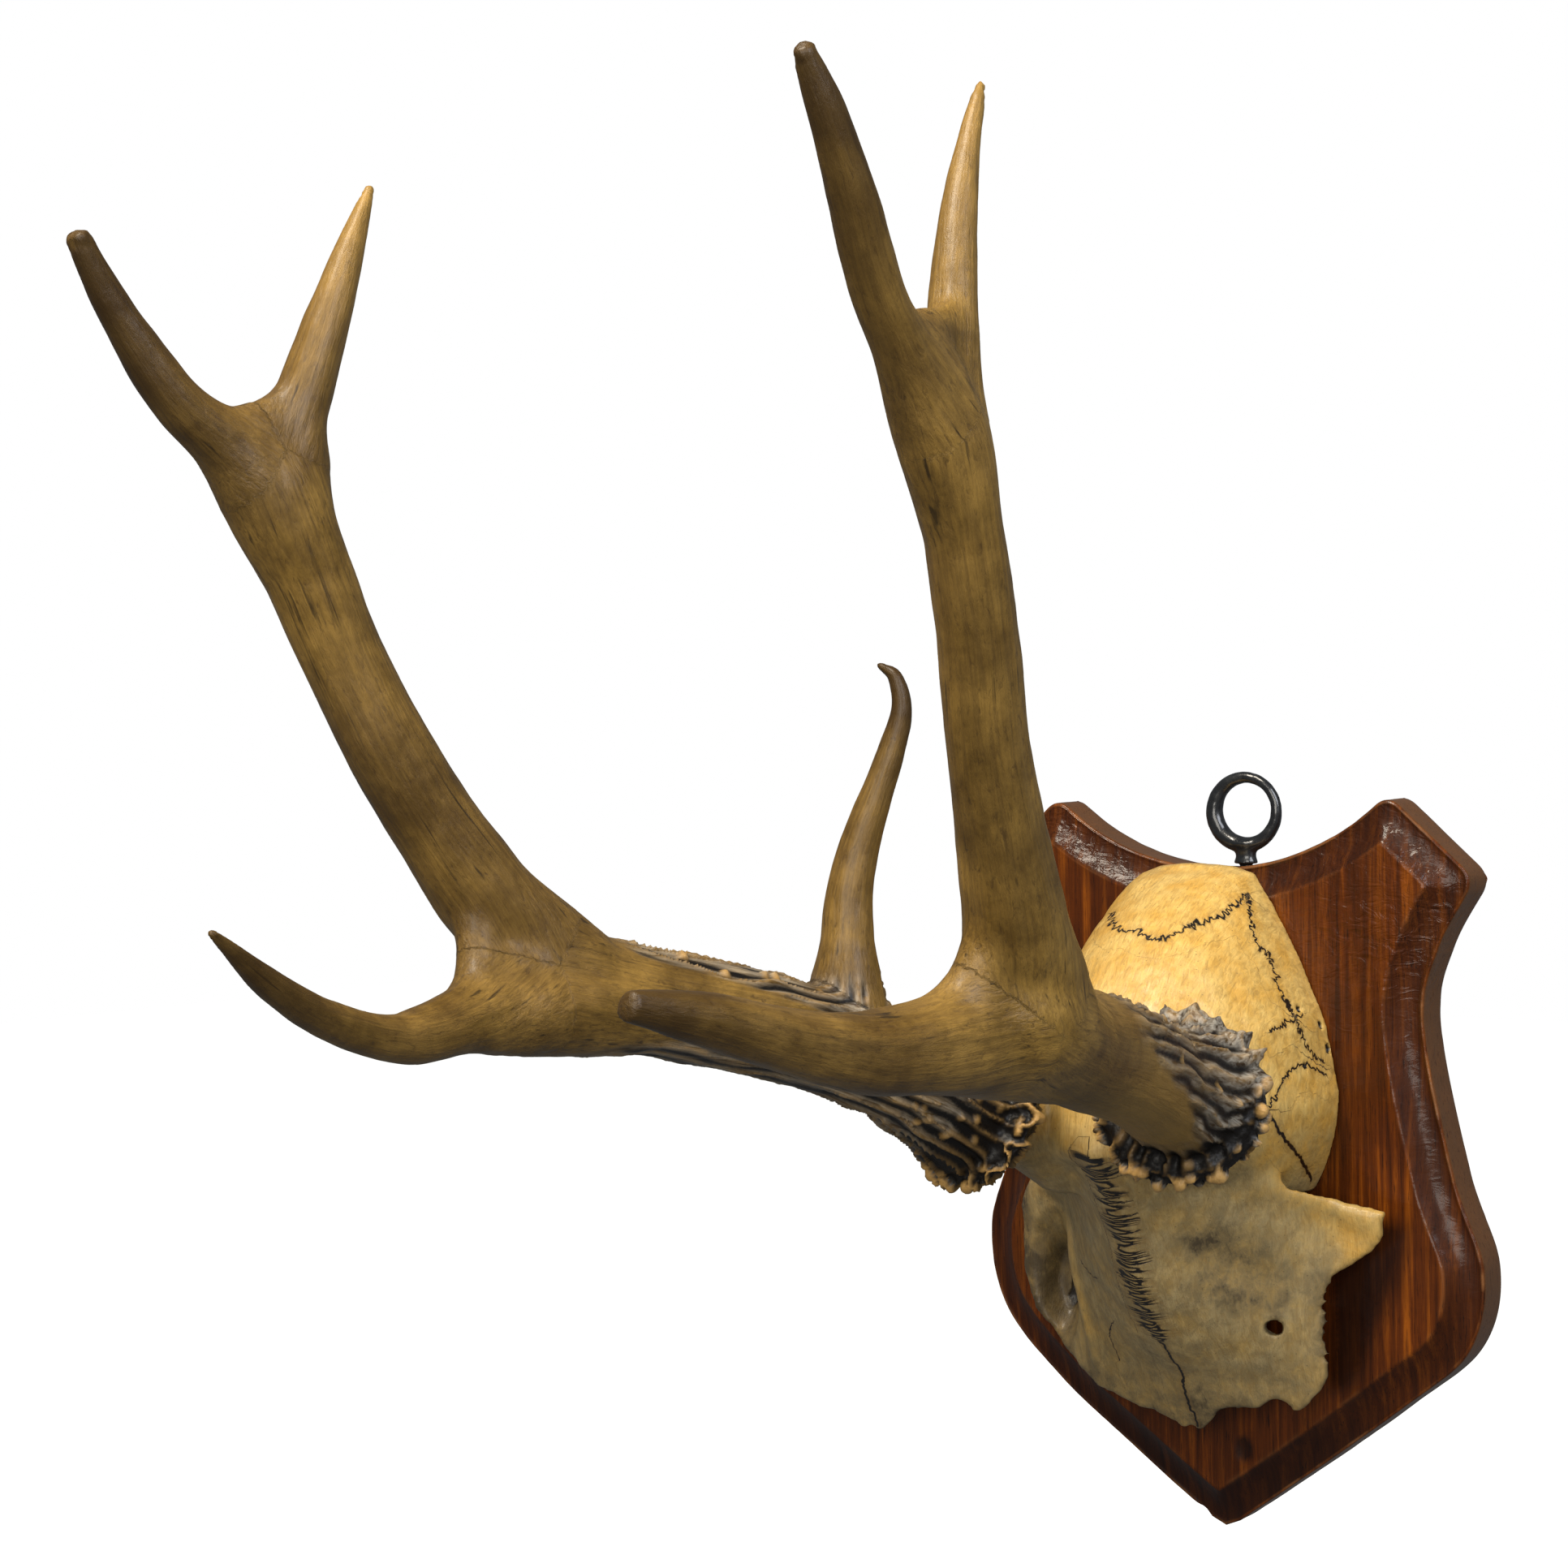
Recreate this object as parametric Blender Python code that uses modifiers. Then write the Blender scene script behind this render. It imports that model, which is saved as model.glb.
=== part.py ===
"""Antler mounting plaque: a shield board, a skull cap with both antlers, and a hanging eye.

Row frame: +X to the viewer's right, -Y out of the wall towards the viewer, +Z up.
The origin is on the wall face of the board, on its centre line.
"""

import math

import bmesh
import bpy
import numpy as np
from mathutils import Matrix, Vector

MM = 0.001

# Clearances
GAP = 0.3 * MM
HOLE_CLEARANCE = 0.3 * MM

# Shield board: outline of the front arris, given for the right half
BOARD_HALF_WIDTH = 101.5 * MM
BOARD_TIP_Z = -140.0 * MM
BOARD_DIP_Z = 108.6 * MM
HORN_TOP_X = 68.0 * MM
HORN_TOP_Z = 136.0 * MM
HORN_SIDE_X = 100.5 * MM
HORN_SIDE_Z = 105.4 * MM
WAIST_X = 80.7 * MM
WAIST_Z = 53.0 * MM
BELLY_Z = -34.0 * MM
FLANK_X = 70.0 * MM
FLANK_Z = {1: -85.5 * MM, -1: -92.0 * MM}
CORNER_CUT = 4.0 * MM

# Shield board: points between those above, as shares of the way from one to the next
SHOULDER_SHARE = (0.72, 0.48)
THIGH_SHARE = (0.5, 0.62)
TURN_SHARE = (0.20, 0.55)
LOW_SHARE = (0.5, 0.5)
LOW_BULGE = 0.01

# Shield board: thickness and border
EDGE_DEPTH = 16.0 * MM
EDGE_FLARE = 0.3 * MM
BORDER_WIDTH = 13.2 * MM
BORDER_RISE = 5.5 * MM
COVE_SAG = 1.6 * MM
BOARD_DEPTH = EDGE_DEPTH + BORDER_RISE
COVE_SHARES = (0.35, 0.7)
CORNER_FADE = 0.8
SIDE_STEPS = 34
SIDE_PATH_STEPS = 12
FINE_STEPS = 400
DIP_STEPS = 14
CUT_STEPS = 4
CORNER_STEPS = 4

# Hanging eye
EYE_X = 8.5 * MM
EYE_Y = -EDGE_DEPTH / 2.0
EYE_MEAN_RADIUS = 12.7 * MM
EYE_THIN = 1.9 * MM
EYE_THICK = 3.4 * MM
EYE_THICK_TURN = 0.9
EYE_AROUND = 32
EYE_SIDES = 10
EYE_NECK_RADIUS = 4.6 * MM
EYE_NECK_HEIGHT = 7.0 * MM
NECK_STATIONS = ((1.0, 0.0), (0.86, 0.3), (0.95, 0.7), (0.8, 1.0))
NECK_BITE = 0.4
NECK_FLATNESS = 0.8
NECK_SIDES = 20
SHANK_RADIUS = 2.4 * MM
SHANK_LENGTH = 20.0 * MM
SHANK_HOLE_SPARE = 1.0 * MM
HOLE_OVERRUN = 20.0 * MM
HOLE_SIDES = 24

# Skull cap: braincase, depths measured out from its foot on the board
FOOT_Y = -BOARD_DEPTH - GAP
CROWN_Z = 111.0 * MM
BRAIN_HALF_WIDTH = 51.0 * MM
BRAIN_LEAN = -3.0 * MM
BRAIN_WIDEST_Z = 28.0 * MM
BRAIN_LOW_Z = -8.0 * MM
BRAIN_FALL = ((0.0, 0.02), (0.015, 0.28), (0.05, 0.43), (0.17, 0.55), (0.42, 0.75), (0.70, 0.93), (1.0, 1.0))
BROW_OUT = 91.4 * MM
BROW_Z = 12.0 * MM
BRAIN_LOW_NARROWING = 0.20
BRAIN_SQUARENESS = (0.86, 0.80)
CROWN_FLAT = 0.16
CROWN_ROUND = 0.55
CROWN_CROWDING = 1.5
CROWN_TRIM = 0.3 * MM
BROW_FALL = 0.4
BRAIN_STEPS = 22
AROUND_STEPS = 28

# Skull cap: frontal plate, stations of height and reach out or aside in millimetres
PLATE_LOW_Z = -95.0 * MM
PLATE_MIDLINE = ((12.0, 91.4), (-20.0, 70.4), (-39.0, 60.4), (-59.0, 44.4), (-74.0, 30.4), (-95.0, 19.4))
PLATE_RIGHT = ((12.0, 36.0), (-2.0, 46.0), (-9.0, 60.0), (-13.0, 72.0), (-21.0, 69.0), (-31.0, 60.0),
               (-37.0, 54.0), (-63.0, 52.0), (-80.0, 46.0), (-86.0, 36.0), (-90.0, 16.0), (-95.0, 6.0))
PLATE_LEFT = ((12.0, 36.0), (-2.0, 46.0), (-9.0, 62.0), (-13.0, 75.0), (-45.0, 74.0), (-60.0, 68.0),
              (-74.0, 56.0), (-86.0, 38.0), (-90.0, 16.0), (-95.0, 6.0))
PLATE_EDGE_OUT = 15.4 * MM
PLATE_ROOF_CURVE = 1.4
PLATE_WING_SLOPE = 0.12
PLATE_UNDER_NARROWING = 0.97
PLATE_ROOF_HALF = 56.0 * MM
PLATE_THICK = 4.5 * MM
PLATE_ROWS = 44
PLATE_COLUMNS = 21
ORBIT_HOLE_AT = (-51.0, -26.4, -46.0)
ORBIT_HOLE_SIZE = (8.5, 30.0, 18.5)

# Pedicles and burrs
PEDICLE_R = (18.1, 14.5, 15.2)
PEDICLE_WAIST_SHARE = 0.4
PEDICLE_LENGTH = 40.0 * MM
BURR_RADIUS = 31.0 * MM
BURR_SHIFT = {1: 0.0 * MM, -1: 8.0 * MM}
BURR_HALF_DEPTH = 6.0 * MM
BURR_RINGS = (-1.0, -0.45, 0.1, 0.7, 1.5)
BURR_ROUND = 0.19
BURR_LOBES = 18
BURR_LOBE_STEPS = 4
BURR_LOBE_DEPTH = 1.6 * MM

# Antler limbs: right-hand stations (x, y, z) in millimetres, y from the bone's foot on the board,
# the left hand is their mirror
BURR_AT = (36.6, -96.4, 30.7)
FORK_AT = (87.7, -281.7, 81.3)
CROWN_AT = (114.0, -357.0, 225.7)
FRONT_TIP_AT = (68.7, -420.9, 99.3)
FORE_TIP_AT = (119.9, -419.9, 295.7)
REAR_TIP_AT = (105.5, -326.1, 314.4)
LOW_BEAM_BY = ((49.7, -146.2, 48.5), (62.8, -194.2, 61.9), (75.7, -239.9, 71.5))
HIGH_BEAM_BY = ((92.6, -293.9, 107.5), (98.6, -310.3, 132.0), (103.7, -324.7, 156.0),
                (108.7, -336.0, 179.8), (111.9, -346.4, 203.1))
FRONT_TINE_BY = ((82.2, -312.4, 75.9), (78.8, -343.4, 74.6), (76.2, -372.7, 81.0), (72.8, -398.0, 90.1))
FORE_TINE_BY = ((115.0, -374.1, 238.8), (117.0, -389.2, 252.1), (119.0, -400.3, 266.7),
                (120.1, -410.4, 281.3))
REAR_TINE_BY = ((111.2, -349.9, 247.3), (108.2, -343.0, 269.2), (106.1, -335.2, 291.6))
HOOK_BY = ((52.5, -163.4, 60.0), (52.3, -161.9, 90.0), (52.5, -160.4, 104.0), (50.0, -157.9, 120.0),
           (44.8, -155.4, 137.0), (39.9, -152.4, 153.0), (36.8, -150.4, 167.0), (38.6, -150.9, 177.5),
           (43.5, -151.9, 181.5))
FORK_CROTCH_AT = (83.1, -315.2, 88.2)
CROWN_CROTCH_AT = (114.4, -369.4, 253.2)

# Limb radii in millimetres, root to tip, right antler then left antler
LOW_BEAM_R = {1: (22.0, 20.0, 18.0, 16.6, 15.6), -1: (22.0, 19.0, 17.5, 17.0, 17.0)}
HIGH_BEAM_R = {1: (15.6, 13.6, 11.5, 10.5, 10.1, 9.9, 10.4), -1: (17.0, 14.3, 13.0, 12.7, 12.5, 13.2, 13.6)}
FRONT_TINE_R = {1: (15.6, 13.2, 10.2, 8.0, 6.3, 3.8), -1: (17.0, 11.1, 7.2, 5.7, 4.1, 1.4)}
FORE_TINE_R = {1: (10.0, 7.9, 6.4, 5.5, 4.6, 2.6), -1: (12.0, 9.6, 7.6, 6.2, 4.9, 3.4)}
REAR_TINE_R = {1: (9.0, 7.2, 5.6, 4.1, 1.5), -1: (12.0, 9.0, 7.2, 5.2, 1.8)}
HOOK_R = (12.0, 9.0, 8.0, 6.8, 5.5, 4.7, 3.6, 2.7, 1.5)
FORK_SWELL = 0.53
FORK_WEB_R = 8.0
CROWN_WEB_R = {1: 5.5, -1: 7.0}
WEB_RUNS = ((0.0, 0.3), (0.5, 0.0))
WEB_END_SHARE = 0.6

# How far each antler's nodes sit above (+) the mirrored stations, in millimetres
LIFT = {1: {"burr": 4.4, "fork": -2.7, "crotch": 0.5, "crown": -3.3,
            "front": -5.5, "fore": 2.0, "rear": -2.7},
        -1: {"burr": -4.9, "fork": 3.5, "crotch": -5.5, "crown": 4.6,
             "front": 7.2, "fore": -3.4, "rear": 4.0}}
# How far the middle of each limb is bowed above (+) its ends' lift, in millimetres
BOW = {1: {"low": -2.5, "high": 1.8, "front": 5.9, "fore": 1.5, "rear": 0.0},
       -1: {"low": 2.8, "high": -2.6, "front": -7.5, "fore": -2.1, "rear": 0.0}}

# Joining the bone into one skin
LIMB_SIDES = 5
LIMB_STEPS = 4
WELD_DISTANCE = 0.01 * MM
SKIN_VOXEL = 1.6 * MM
SKIN_SMOOTH_STEPS = 5
SKIN_KEEP = 0.038
SKIN_SMOOTH_FACTOR = 0.5


def clear_scene():
    """Remove the objects of the startup scene."""
    for item in list(bpy.data.objects):
        bpy.data.objects.remove(item, do_unlink=True)


def make_collection(name):
    """Make a collection under the scene's root collection."""
    group = bpy.data.collections.new(name)
    bpy.context.scene.collection.children.link(group)
    return group


def make_material(name, colour, roughness, metallic):
    """Make a plain Principled material."""
    made = bpy.data.materials.new(name)
    made.use_nodes = True
    shader = made.node_tree.nodes["Principled BSDF"]
    shader.inputs["Base Color"].default_value = (*colour, 1.0)
    shader.inputs["Roughness"].default_value = roughness
    shader.inputs["Metallic"].default_value = metallic
    return made


def object_from_bmesh(name, shape, group):
    """Close a bmesh into a named object in a collection."""
    bmesh.ops.recalc_face_normals(shape, faces=shape.faces)
    mesh = bpy.data.meshes.new(name)
    shape.to_mesh(mesh)
    shape.free()
    made = bpy.data.objects.new(name, mesh)
    group.objects.link(made)
    return made


def loft(shape, rings):
    """Skin closed rings of equal length in order and cap both ends."""
    rows = []
    for ring in rings:
        rows.append([shape.verts.new(point) for point in ring])
    for low, high in zip(rows, rows[1:]):
        for i in range(len(low)):
            j = (i + 1) % len(low)
            shape.faces.new((low[i], low[j], high[j], high[i]))
    shape.faces.new(list(reversed(rows[0])))
    shape.faces.new(rows[-1])


def path_points(corners, steps):
    """Sample a smooth Catmull-Rom path through the corners, each a tuple of numbers."""
    points = np.array(corners, dtype=float)
    padded = np.vstack([2.0 * points[0] - points[1], points, 2.0 * points[-1] - points[-2]])
    out = []
    for k in range(len(points) - 1):
        a, b, c, d = padded[k:k + 4]
        for t in np.linspace(0.0, 1.0, steps, endpoint=False):
            out.append(0.5 * (2 * b + (c - a) * t + (2 * a - 5 * b + 4 * c - d) * t * t
                              + (3 * b - a - 3 * c + d) * t ** 3))
    out.append(points[-1])
    return np.array(out)


def resample(line, count):
    """Place count points evenly along a polyline."""
    length = np.concatenate([[0.0], np.cumsum(np.linalg.norm(np.diff(line, axis=0), axis=1))])
    at = np.linspace(0.0, length[-1], count)
    return np.stack([np.interp(at, length, line[:, k]) for k in range(line.shape[1])], axis=1)


def dip_radius():
    """Give the radius of the arc that dips between the horns."""
    rise = HORN_TOP_Z - BOARD_DIP_Z
    return (HORN_TOP_X ** 2 + rise ** 2) / (2.0 * rise)


def part_way(first, second, shares):
    """Give a point part of the way from one to the next, its share across and its share down."""
    return tuple(a + share * (b - a) for a, b, share in zip(first, second, shares))


def shield_sides(flank_z):
    """Give the three lines of one half, drawn to the right: dip, cut corner and side, from the top down."""
    radius = dip_radius()
    across = np.linspace(0.0, HORN_TOP_X, FINE_STEPS)
    dip = np.stack([across, BOARD_DIP_Z + radius - np.sqrt(radius ** 2 - across ** 2)], axis=1)
    cut = np.array([(HORN_TOP_X, HORN_TOP_Z), (HORN_SIDE_X, HORN_SIDE_Z)])
    corner = (HORN_SIDE_X, HORN_SIDE_Z)
    waist = (WAIST_X, WAIST_Z)
    belly = (BOARD_HALF_WIDTH, BELLY_Z)
    flank = (FLANK_X, flank_z)
    tip = (0.0, BOARD_TIP_Z)
    low = part_way(flank, tip, LOW_SHARE)
    side = path_points([corner, part_way(corner, waist, SHOULDER_SHARE), waist,
                        part_way(waist, belly, THIGH_SHARE), belly, part_way(belly, flank, TURN_SHARE),
                        flank, (low[0], low[1] - LOW_BULGE * FLANK_X), tip], SIDE_PATH_STEPS)
    return [dip, cut, side]


def push_line(line, distance):
    """Move a polyline sideways, outwards for a positive distance."""
    along = np.gradient(line, axis=0)
    along /= np.linalg.norm(along, axis=1)[:, None]
    return line + distance * np.stack([-along[:, 1], along[:, 0]], axis=1)


def crossing(first, second):
    """Find where the end of one line meets the start of the next, both run on straight."""
    best = None
    for i in range(len(first) - 1):
        for j in range(len(second) - 1):
            p, r = first[i], first[i + 1] - first[i]
            q, s = second[j], second[j + 1] - second[j]
            area = r[0] * s[1] - r[1] * s[0]
            if abs(area) < 1e-15:
                continue
            t = ((q[0] - p[0]) * s[1] - (q[1] - p[1]) * s[0]) / area
            u = ((q[0] - p[0]) * r[1] - (q[1] - p[1]) * r[0]) / area
            if 0.0 <= t <= 1.0 and 0.0 <= u <= 1.0:
                best = (i, j, p + t * r)
    if best is not None:
        return best
    p, r = first[-1], first[-1] - first[-2]
    q, s = second[0], second[1] - second[0]
    area = r[0] * s[1] - r[1] * s[0]
    t = ((q[0] - p[0]) * s[1] - (q[1] - p[1]) * s[0]) / area
    return len(first) - 1, -1, p + t * r


def shield_half(flank_z, offset, cut):
    """Give one half of the outline pushed outwards by an offset, its corners cut back and rounded."""
    lines = [push_line(line, offset) for line in shield_sides(flank_z)]
    lines[0][:, 0] = np.maximum(lines[0][:, 0], 0.0)
    joined = []
    start = lines[0]
    for following in lines[1:]:
        i, j, meet = crossing(start, following)
        joined.append(np.vstack([start[:i + 1], meet]))
        start = np.vstack([meet, following[j + 1:]])
    slope = start[-1] - start[-2]
    tip = start[-1] - slope * start[-1][0] / slope[0]
    keep = start[start[:, 0] > 1e-6]
    joined.append(np.vstack([keep, tip]))
    counts = (DIP_STEPS, CUT_STEPS, SIDE_STEPS)
    cut_ends = ((False, True), (True, True), (True, True))
    half = []
    for line, count, ends in zip(joined, counts, cut_ends):
        fine = resample(line, FINE_STEPS)
        length = np.linalg.norm(np.diff(fine, axis=0), axis=1).sum()
        trim = int(round(FINE_STEPS * cut / length))
        first = trim if ends[0] else 0
        last = FINE_STEPS - trim if ends[1] else FINE_STEPS
        piece = resample(fine[first:last], count)
        if half:
            corner = line[0]
            before = half[-1][-1]
            after = piece[0]
            for t in np.linspace(0.0, 1.0, CORNER_STEPS + 1)[1:-1]:
                bend = (1 - t) ** 2 * before + 2 * t * (1 - t) * corner + t * t * after
                half.append(bend[None, :])
        half.append(piece)
    half = np.vstack(half)
    half[0, 0] = 0.0
    return half, joined[-1][-1]


def shield_ring(offset, y, cut):
    """Give the whole shield outline pushed outwards by an offset at depth y."""
    right, tip = shield_half(FLANK_Z[1], offset, cut)
    left, left_tip = shield_half(FLANK_Z[-1], offset, cut)
    low = 0.25 * (right[-1][1] + left[-1][1]) + 0.25 * (tip[1] + left_tip[1])
    ring = np.vstack([right, [[0.0, low]], left[1:][::-1] * np.array([-1.0, 1.0])])
    return [(px, y, pz) for px, pz in ring]


def make_board(group):
    """Build the shield: flared edge, hollowed border and flat raised field."""
    shape = bmesh.new()
    rings = [shield_ring(EDGE_FLARE, 0.0, CORNER_CUT), shield_ring(0.0, -EDGE_DEPTH, CORNER_CUT)]
    for share in (*COVE_SHARES, 1.0):
        sag = COVE_SAG * 4.0 * share * (1.0 - share)
        depth = -EDGE_DEPTH - BORDER_RISE * share + sag
        rings.append(shield_ring(-BORDER_WIDTH * share, depth, CORNER_CUT * (1.0 - CORNER_FADE * share)))
    loft(shape, rings)
    return object_from_bmesh("shield_board", shape, group)


def cut_hole(target, cutter_group, centre, radius, depth):
    """Bore a blind hole down from the top edge."""
    shape = bmesh.new()
    bmesh.ops.create_cone(shape, cap_ends=True, segments=HOLE_SIDES, radius1=radius, radius2=radius,
                          depth=depth, matrix=Matrix.Translation(centre))
    cutter = object_from_bmesh("cutter_shank_hole", shape, cutter_group)
    cutter.hide_render = True
    cutter.display_type = "WIRE"
    bore = target.modifiers.new("shank hole", "BOOLEAN")
    bore.operation = "DIFFERENCE"
    bore.solver = "EXACT"
    bore.object = cutter


def edge_height(x):
    """Height of the board's top edge above x, near the middle of the dip."""
    radius = dip_radius()
    return BOARD_DIP_Z + radius - math.sqrt(radius ** 2 - x ** 2)


def tube_mesh(name, stations, radii):
    """Sweep a round section of changing radius along stations and return its closed mesh."""
    curve = bpy.data.curves.new(name, "CURVE")
    curve.dimensions = "3D"
    curve.bevel_depth = 1.0
    curve.bevel_resolution = LIMB_SIDES
    curve.use_fill_caps = True
    curve.resolution_u = LIMB_STEPS
    curve.twist_mode = "MINIMUM"
    line = curve.splines.new("BEZIER")
    line.bezier_points.add(len(stations) - 1)
    for point, at, radius in zip(line.bezier_points, stations, radii):
        point.co = Vector(at)
        point.radius = radius
        point.handle_left_type = "AUTO"
        point.handle_right_type = "AUTO"
    line.radius_interpolation = "CARDINAL"
    holder = bpy.data.objects.new(name, curve)
    bpy.context.scene.collection.objects.link(holder)
    bpy.context.view_layer.update()
    mesh = bpy.data.meshes.new_from_object(holder.evaluated_get(bpy.context.evaluated_depsgraph_get()))
    bpy.data.objects.remove(holder, do_unlink=True)
    return mesh


def add_mesh(shape, mesh):
    """Add a mesh to a bmesh with its caps welded."""
    part = bmesh.new()
    part.from_mesh(mesh)
    bmesh.ops.remove_doubles(part, verts=part.verts, dist=WELD_DISTANCE)
    bmesh.ops.recalc_face_normals(part, faces=part.faces)
    welded = bpy.data.meshes.new("welded")
    part.to_mesh(welded)
    part.free()
    shape.from_mesh(welded)


def side_point(point, side, lift=0.0):
    """Turn a right-hand station in millimetres into metres on the given side."""
    return (side * point[0] * MM, FOOT_Y + point[1] * MM, (point[2] + lift) * MM)


def limb(side, start, between, end, lift_start, lift_end, bow):
    """List the stations of a limb, its lift spread from root to tip and bowed in the middle."""
    points = [start, *between, end]
    shares = np.linspace(0.0, 1.0, len(points))
    lifts = (1.0 - shares) * lift_start + shares * lift_end + 4.0 * bow * shares * (1.0 - shares)
    return [side_point(point, side, lift) for point, lift in zip(points, lifts)]


def middle(first, second):
    """Give the point half way between two stations."""
    return tuple(0.5 * (a + b) for a, b in zip(first, second))


def add_limb(shape, stations, radii):
    """Add one swept limb to the bone."""
    add_mesh(shape, tube_mesh("limb", stations, [radius * MM for radius in radii]))


def add_fork(shape, root, node, first, second, crotch, radii, web_radius):
    """Join two diverging limbs to the beam below them and fill the crotch between them.

    root is the beam station before the node, first and second the stations after it on each
    limb, crotch the lowest point of the open space and radii those of root, node and limbs.
    """
    at_root, at_node, at_first, at_second = radii
    low = Vector(crotch)
    low += (Vector(node) - low).normalized() * web_radius * MM
    add_limb(shape, [root, middle(root, first[0]), first[0], first[1]],
             [at_root, FORK_SWELL * (at_root + at_first[0]), at_first[0], at_first[1]])
    turn = middle(root, node)
    add_limb(shape, [turn, middle(turn, second[0]), second[0], second[1]],
             [at_root, 0.5 * (at_root + at_second[0]), at_second[0], at_second[1]])
    add_limb(shape, [root, node, tuple(low)], [at_root, at_node, web_radius])
    for share, reach in WEB_RUNS:
        bow = low.lerp(Vector(node), share)
        ends = [tuple(Vector(tine[0]).lerp(Vector(tine[1]), reach)) for tine in (first, second)]
        thin = WEB_END_SHARE * web_radius
        add_limb(shape, [ends[0], tuple(bow), ends[1]], [thin, web_radius, thin])


def add_antler(shape, side):
    """Add one antler: beams, tines, filled crotches, burr and pedicle."""
    lift = LIFT[side]
    bow = BOW[side]
    low = limb(side, BURR_AT, LOW_BEAM_BY, FORK_AT, lift["burr"], lift["fork"], bow["low"])
    high = limb(side, FORK_AT, HIGH_BEAM_BY, CROWN_AT, lift["fork"], lift["crown"], bow["high"])
    front = limb(side, FORK_AT, FRONT_TINE_BY, FRONT_TIP_AT, lift["fork"], lift["front"], bow["front"])
    fore = limb(side, CROWN_AT, FORE_TINE_BY, FORE_TIP_AT, lift["crown"], lift["fore"], bow["fore"])
    rear = limb(side, CROWN_AT, REAR_TINE_BY, REAR_TIP_AT, lift["crown"], lift["rear"], bow["rear"])
    low_r, high_r, front_r, fore_r, rear_r = (LOW_BEAM_R[side], HIGH_BEAM_R[side], FRONT_TINE_R[side],
                                              FORE_TINE_R[side], REAR_TINE_R[side])
    add_limb(shape, low[:-1], low_r[:-1])
    add_limb(shape, high[1:-1], high_r[1:-1])
    add_limb(shape, front[1:], front_r[1:])
    add_limb(shape, fore[1:], fore_r[1:])
    add_limb(shape, rear[1:], rear_r[1:])
    add_fork(shape, low[-2], low[-1], front[1:3], high[1:3], side_point(FORK_CROTCH_AT, side, lift["crotch"]),
             (low_r[-2], low_r[-1], front_r[1:3], high_r[1:3]), FORK_WEB_R)
    add_fork(shape, high[-2], high[-1], fore[1:3], rear[1:3], side_point(CROWN_CROTCH_AT, side),
             (high_r[-2], high_r[-1], fore_r[1:3], rear_r[1:3]), CROWN_WEB_R[side])
    axis = (Vector(low[1]) - Vector(low[0])).normalized()
    add_burr(shape, Vector(low[0]) + axis * BURR_SHIFT[side], axis)
    waist = Vector(low[0]) - axis * PEDICLE_LENGTH * PEDICLE_WAIST_SHARE
    foot = Vector(low[0]) - axis * PEDICLE_LENGTH
    add_limb(shape, [tuple(foot), tuple(waist), low[0]], PEDICLE_R)


def add_burr(shape, centre, axis):
    """Add the lobed ring of bone at the root of an antler."""
    turn = axis.to_track_quat("Z", "Y").to_matrix().to_4x4()
    place = Matrix.Translation(centre) @ turn
    steps = BURR_LOBES * BURR_LOBE_STEPS
    angles = np.linspace(0.0, 2.0 * math.pi, steps, endpoint=False)
    rings = []
    for share in BURR_RINGS:
        reach = BURR_RADIUS * (1.0 - BURR_ROUND * share * share)
        edge = reach + BURR_LOBE_DEPTH * np.sin(BURR_LOBES * angles)
        rings.append([place @ Vector((r * math.cos(a), r * math.sin(a), share * BURR_HALF_DEPTH))
                      for r, a in zip(edge, angles)])
    ring = bmesh.new()
    loft(ring, rings)
    mesh = bpy.data.meshes.new("burr")
    ring.to_mesh(mesh)
    ring.free()
    add_mesh(shape, mesh)


def along_stations(stations, z):
    """Read a value from stations of height and value, both in millimetres, at height z."""
    heights = [station[0] * MM for station in reversed(stations)]
    values = [station[1] * MM for station in reversed(stations)]
    return float(np.interp(z, heights, values))


def brain_profile(z):
    """Give the braincase's half width and how far its midline stands out at height z."""
    fall = (CROWN_Z - z) / (CROWN_Z - BRAIN_WIDEST_Z)
    if fall < 1.0:
        width = BRAIN_HALF_WIDTH * float(np.interp(fall, *zip(*BRAIN_FALL)))
    else:
        share = (BRAIN_WIDEST_Z - z) / (BRAIN_WIDEST_Z - BRAIN_LOW_Z)
        width = BRAIN_HALF_WIDTH * (1.0 - BRAIN_LOW_NARROWING * share * share)
    if z > BROW_Z:
        share = (CROWN_Z - z) / (CROWN_Z - BROW_Z)
        out = BROW_OUT * max(CROWN_FLAT, math.sin(0.5 * math.pi * share) ** CROWN_ROUND)
    else:
        share = (BROW_Z - z) / (BROW_Z - BRAIN_LOW_Z)
        out = BROW_OUT * (1.0 - BROW_FALL * share)
    return width, out


def add_braincase(shape):
    """Add the braincase as a loft of rounded sections standing on the board."""
    rings = []
    for share in np.linspace(0.0, 1.0, BRAIN_STEPS) ** CROWN_CROWDING:
        z = CROWN_Z - CROWN_TRIM - share * (CROWN_Z - BRAIN_LOW_Z - CROWN_TRIM)
        width, out = brain_profile(z)
        lean = BRAIN_LEAN * max(0.0, (z - BRAIN_WIDEST_Z) / (CROWN_Z - BRAIN_WIDEST_Z))
        ring = []
        for angle in np.linspace(0.0, math.pi, AROUND_STEPS):
            across = math.copysign(abs(math.cos(angle)) ** BRAIN_SQUARENESS[0], math.cos(angle))
            swell = max(0.0, math.sin(angle)) ** BRAIN_SQUARENESS[1]
            ring.append((width * across + lean, FOOT_Y - out * swell, z))
        rings.append(ring)
    part = bmesh.new()
    loft(part, rings)
    mesh = bpy.data.meshes.new("braincase")
    part.to_mesh(mesh)
    part.free()
    add_mesh(shape, mesh)


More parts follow.
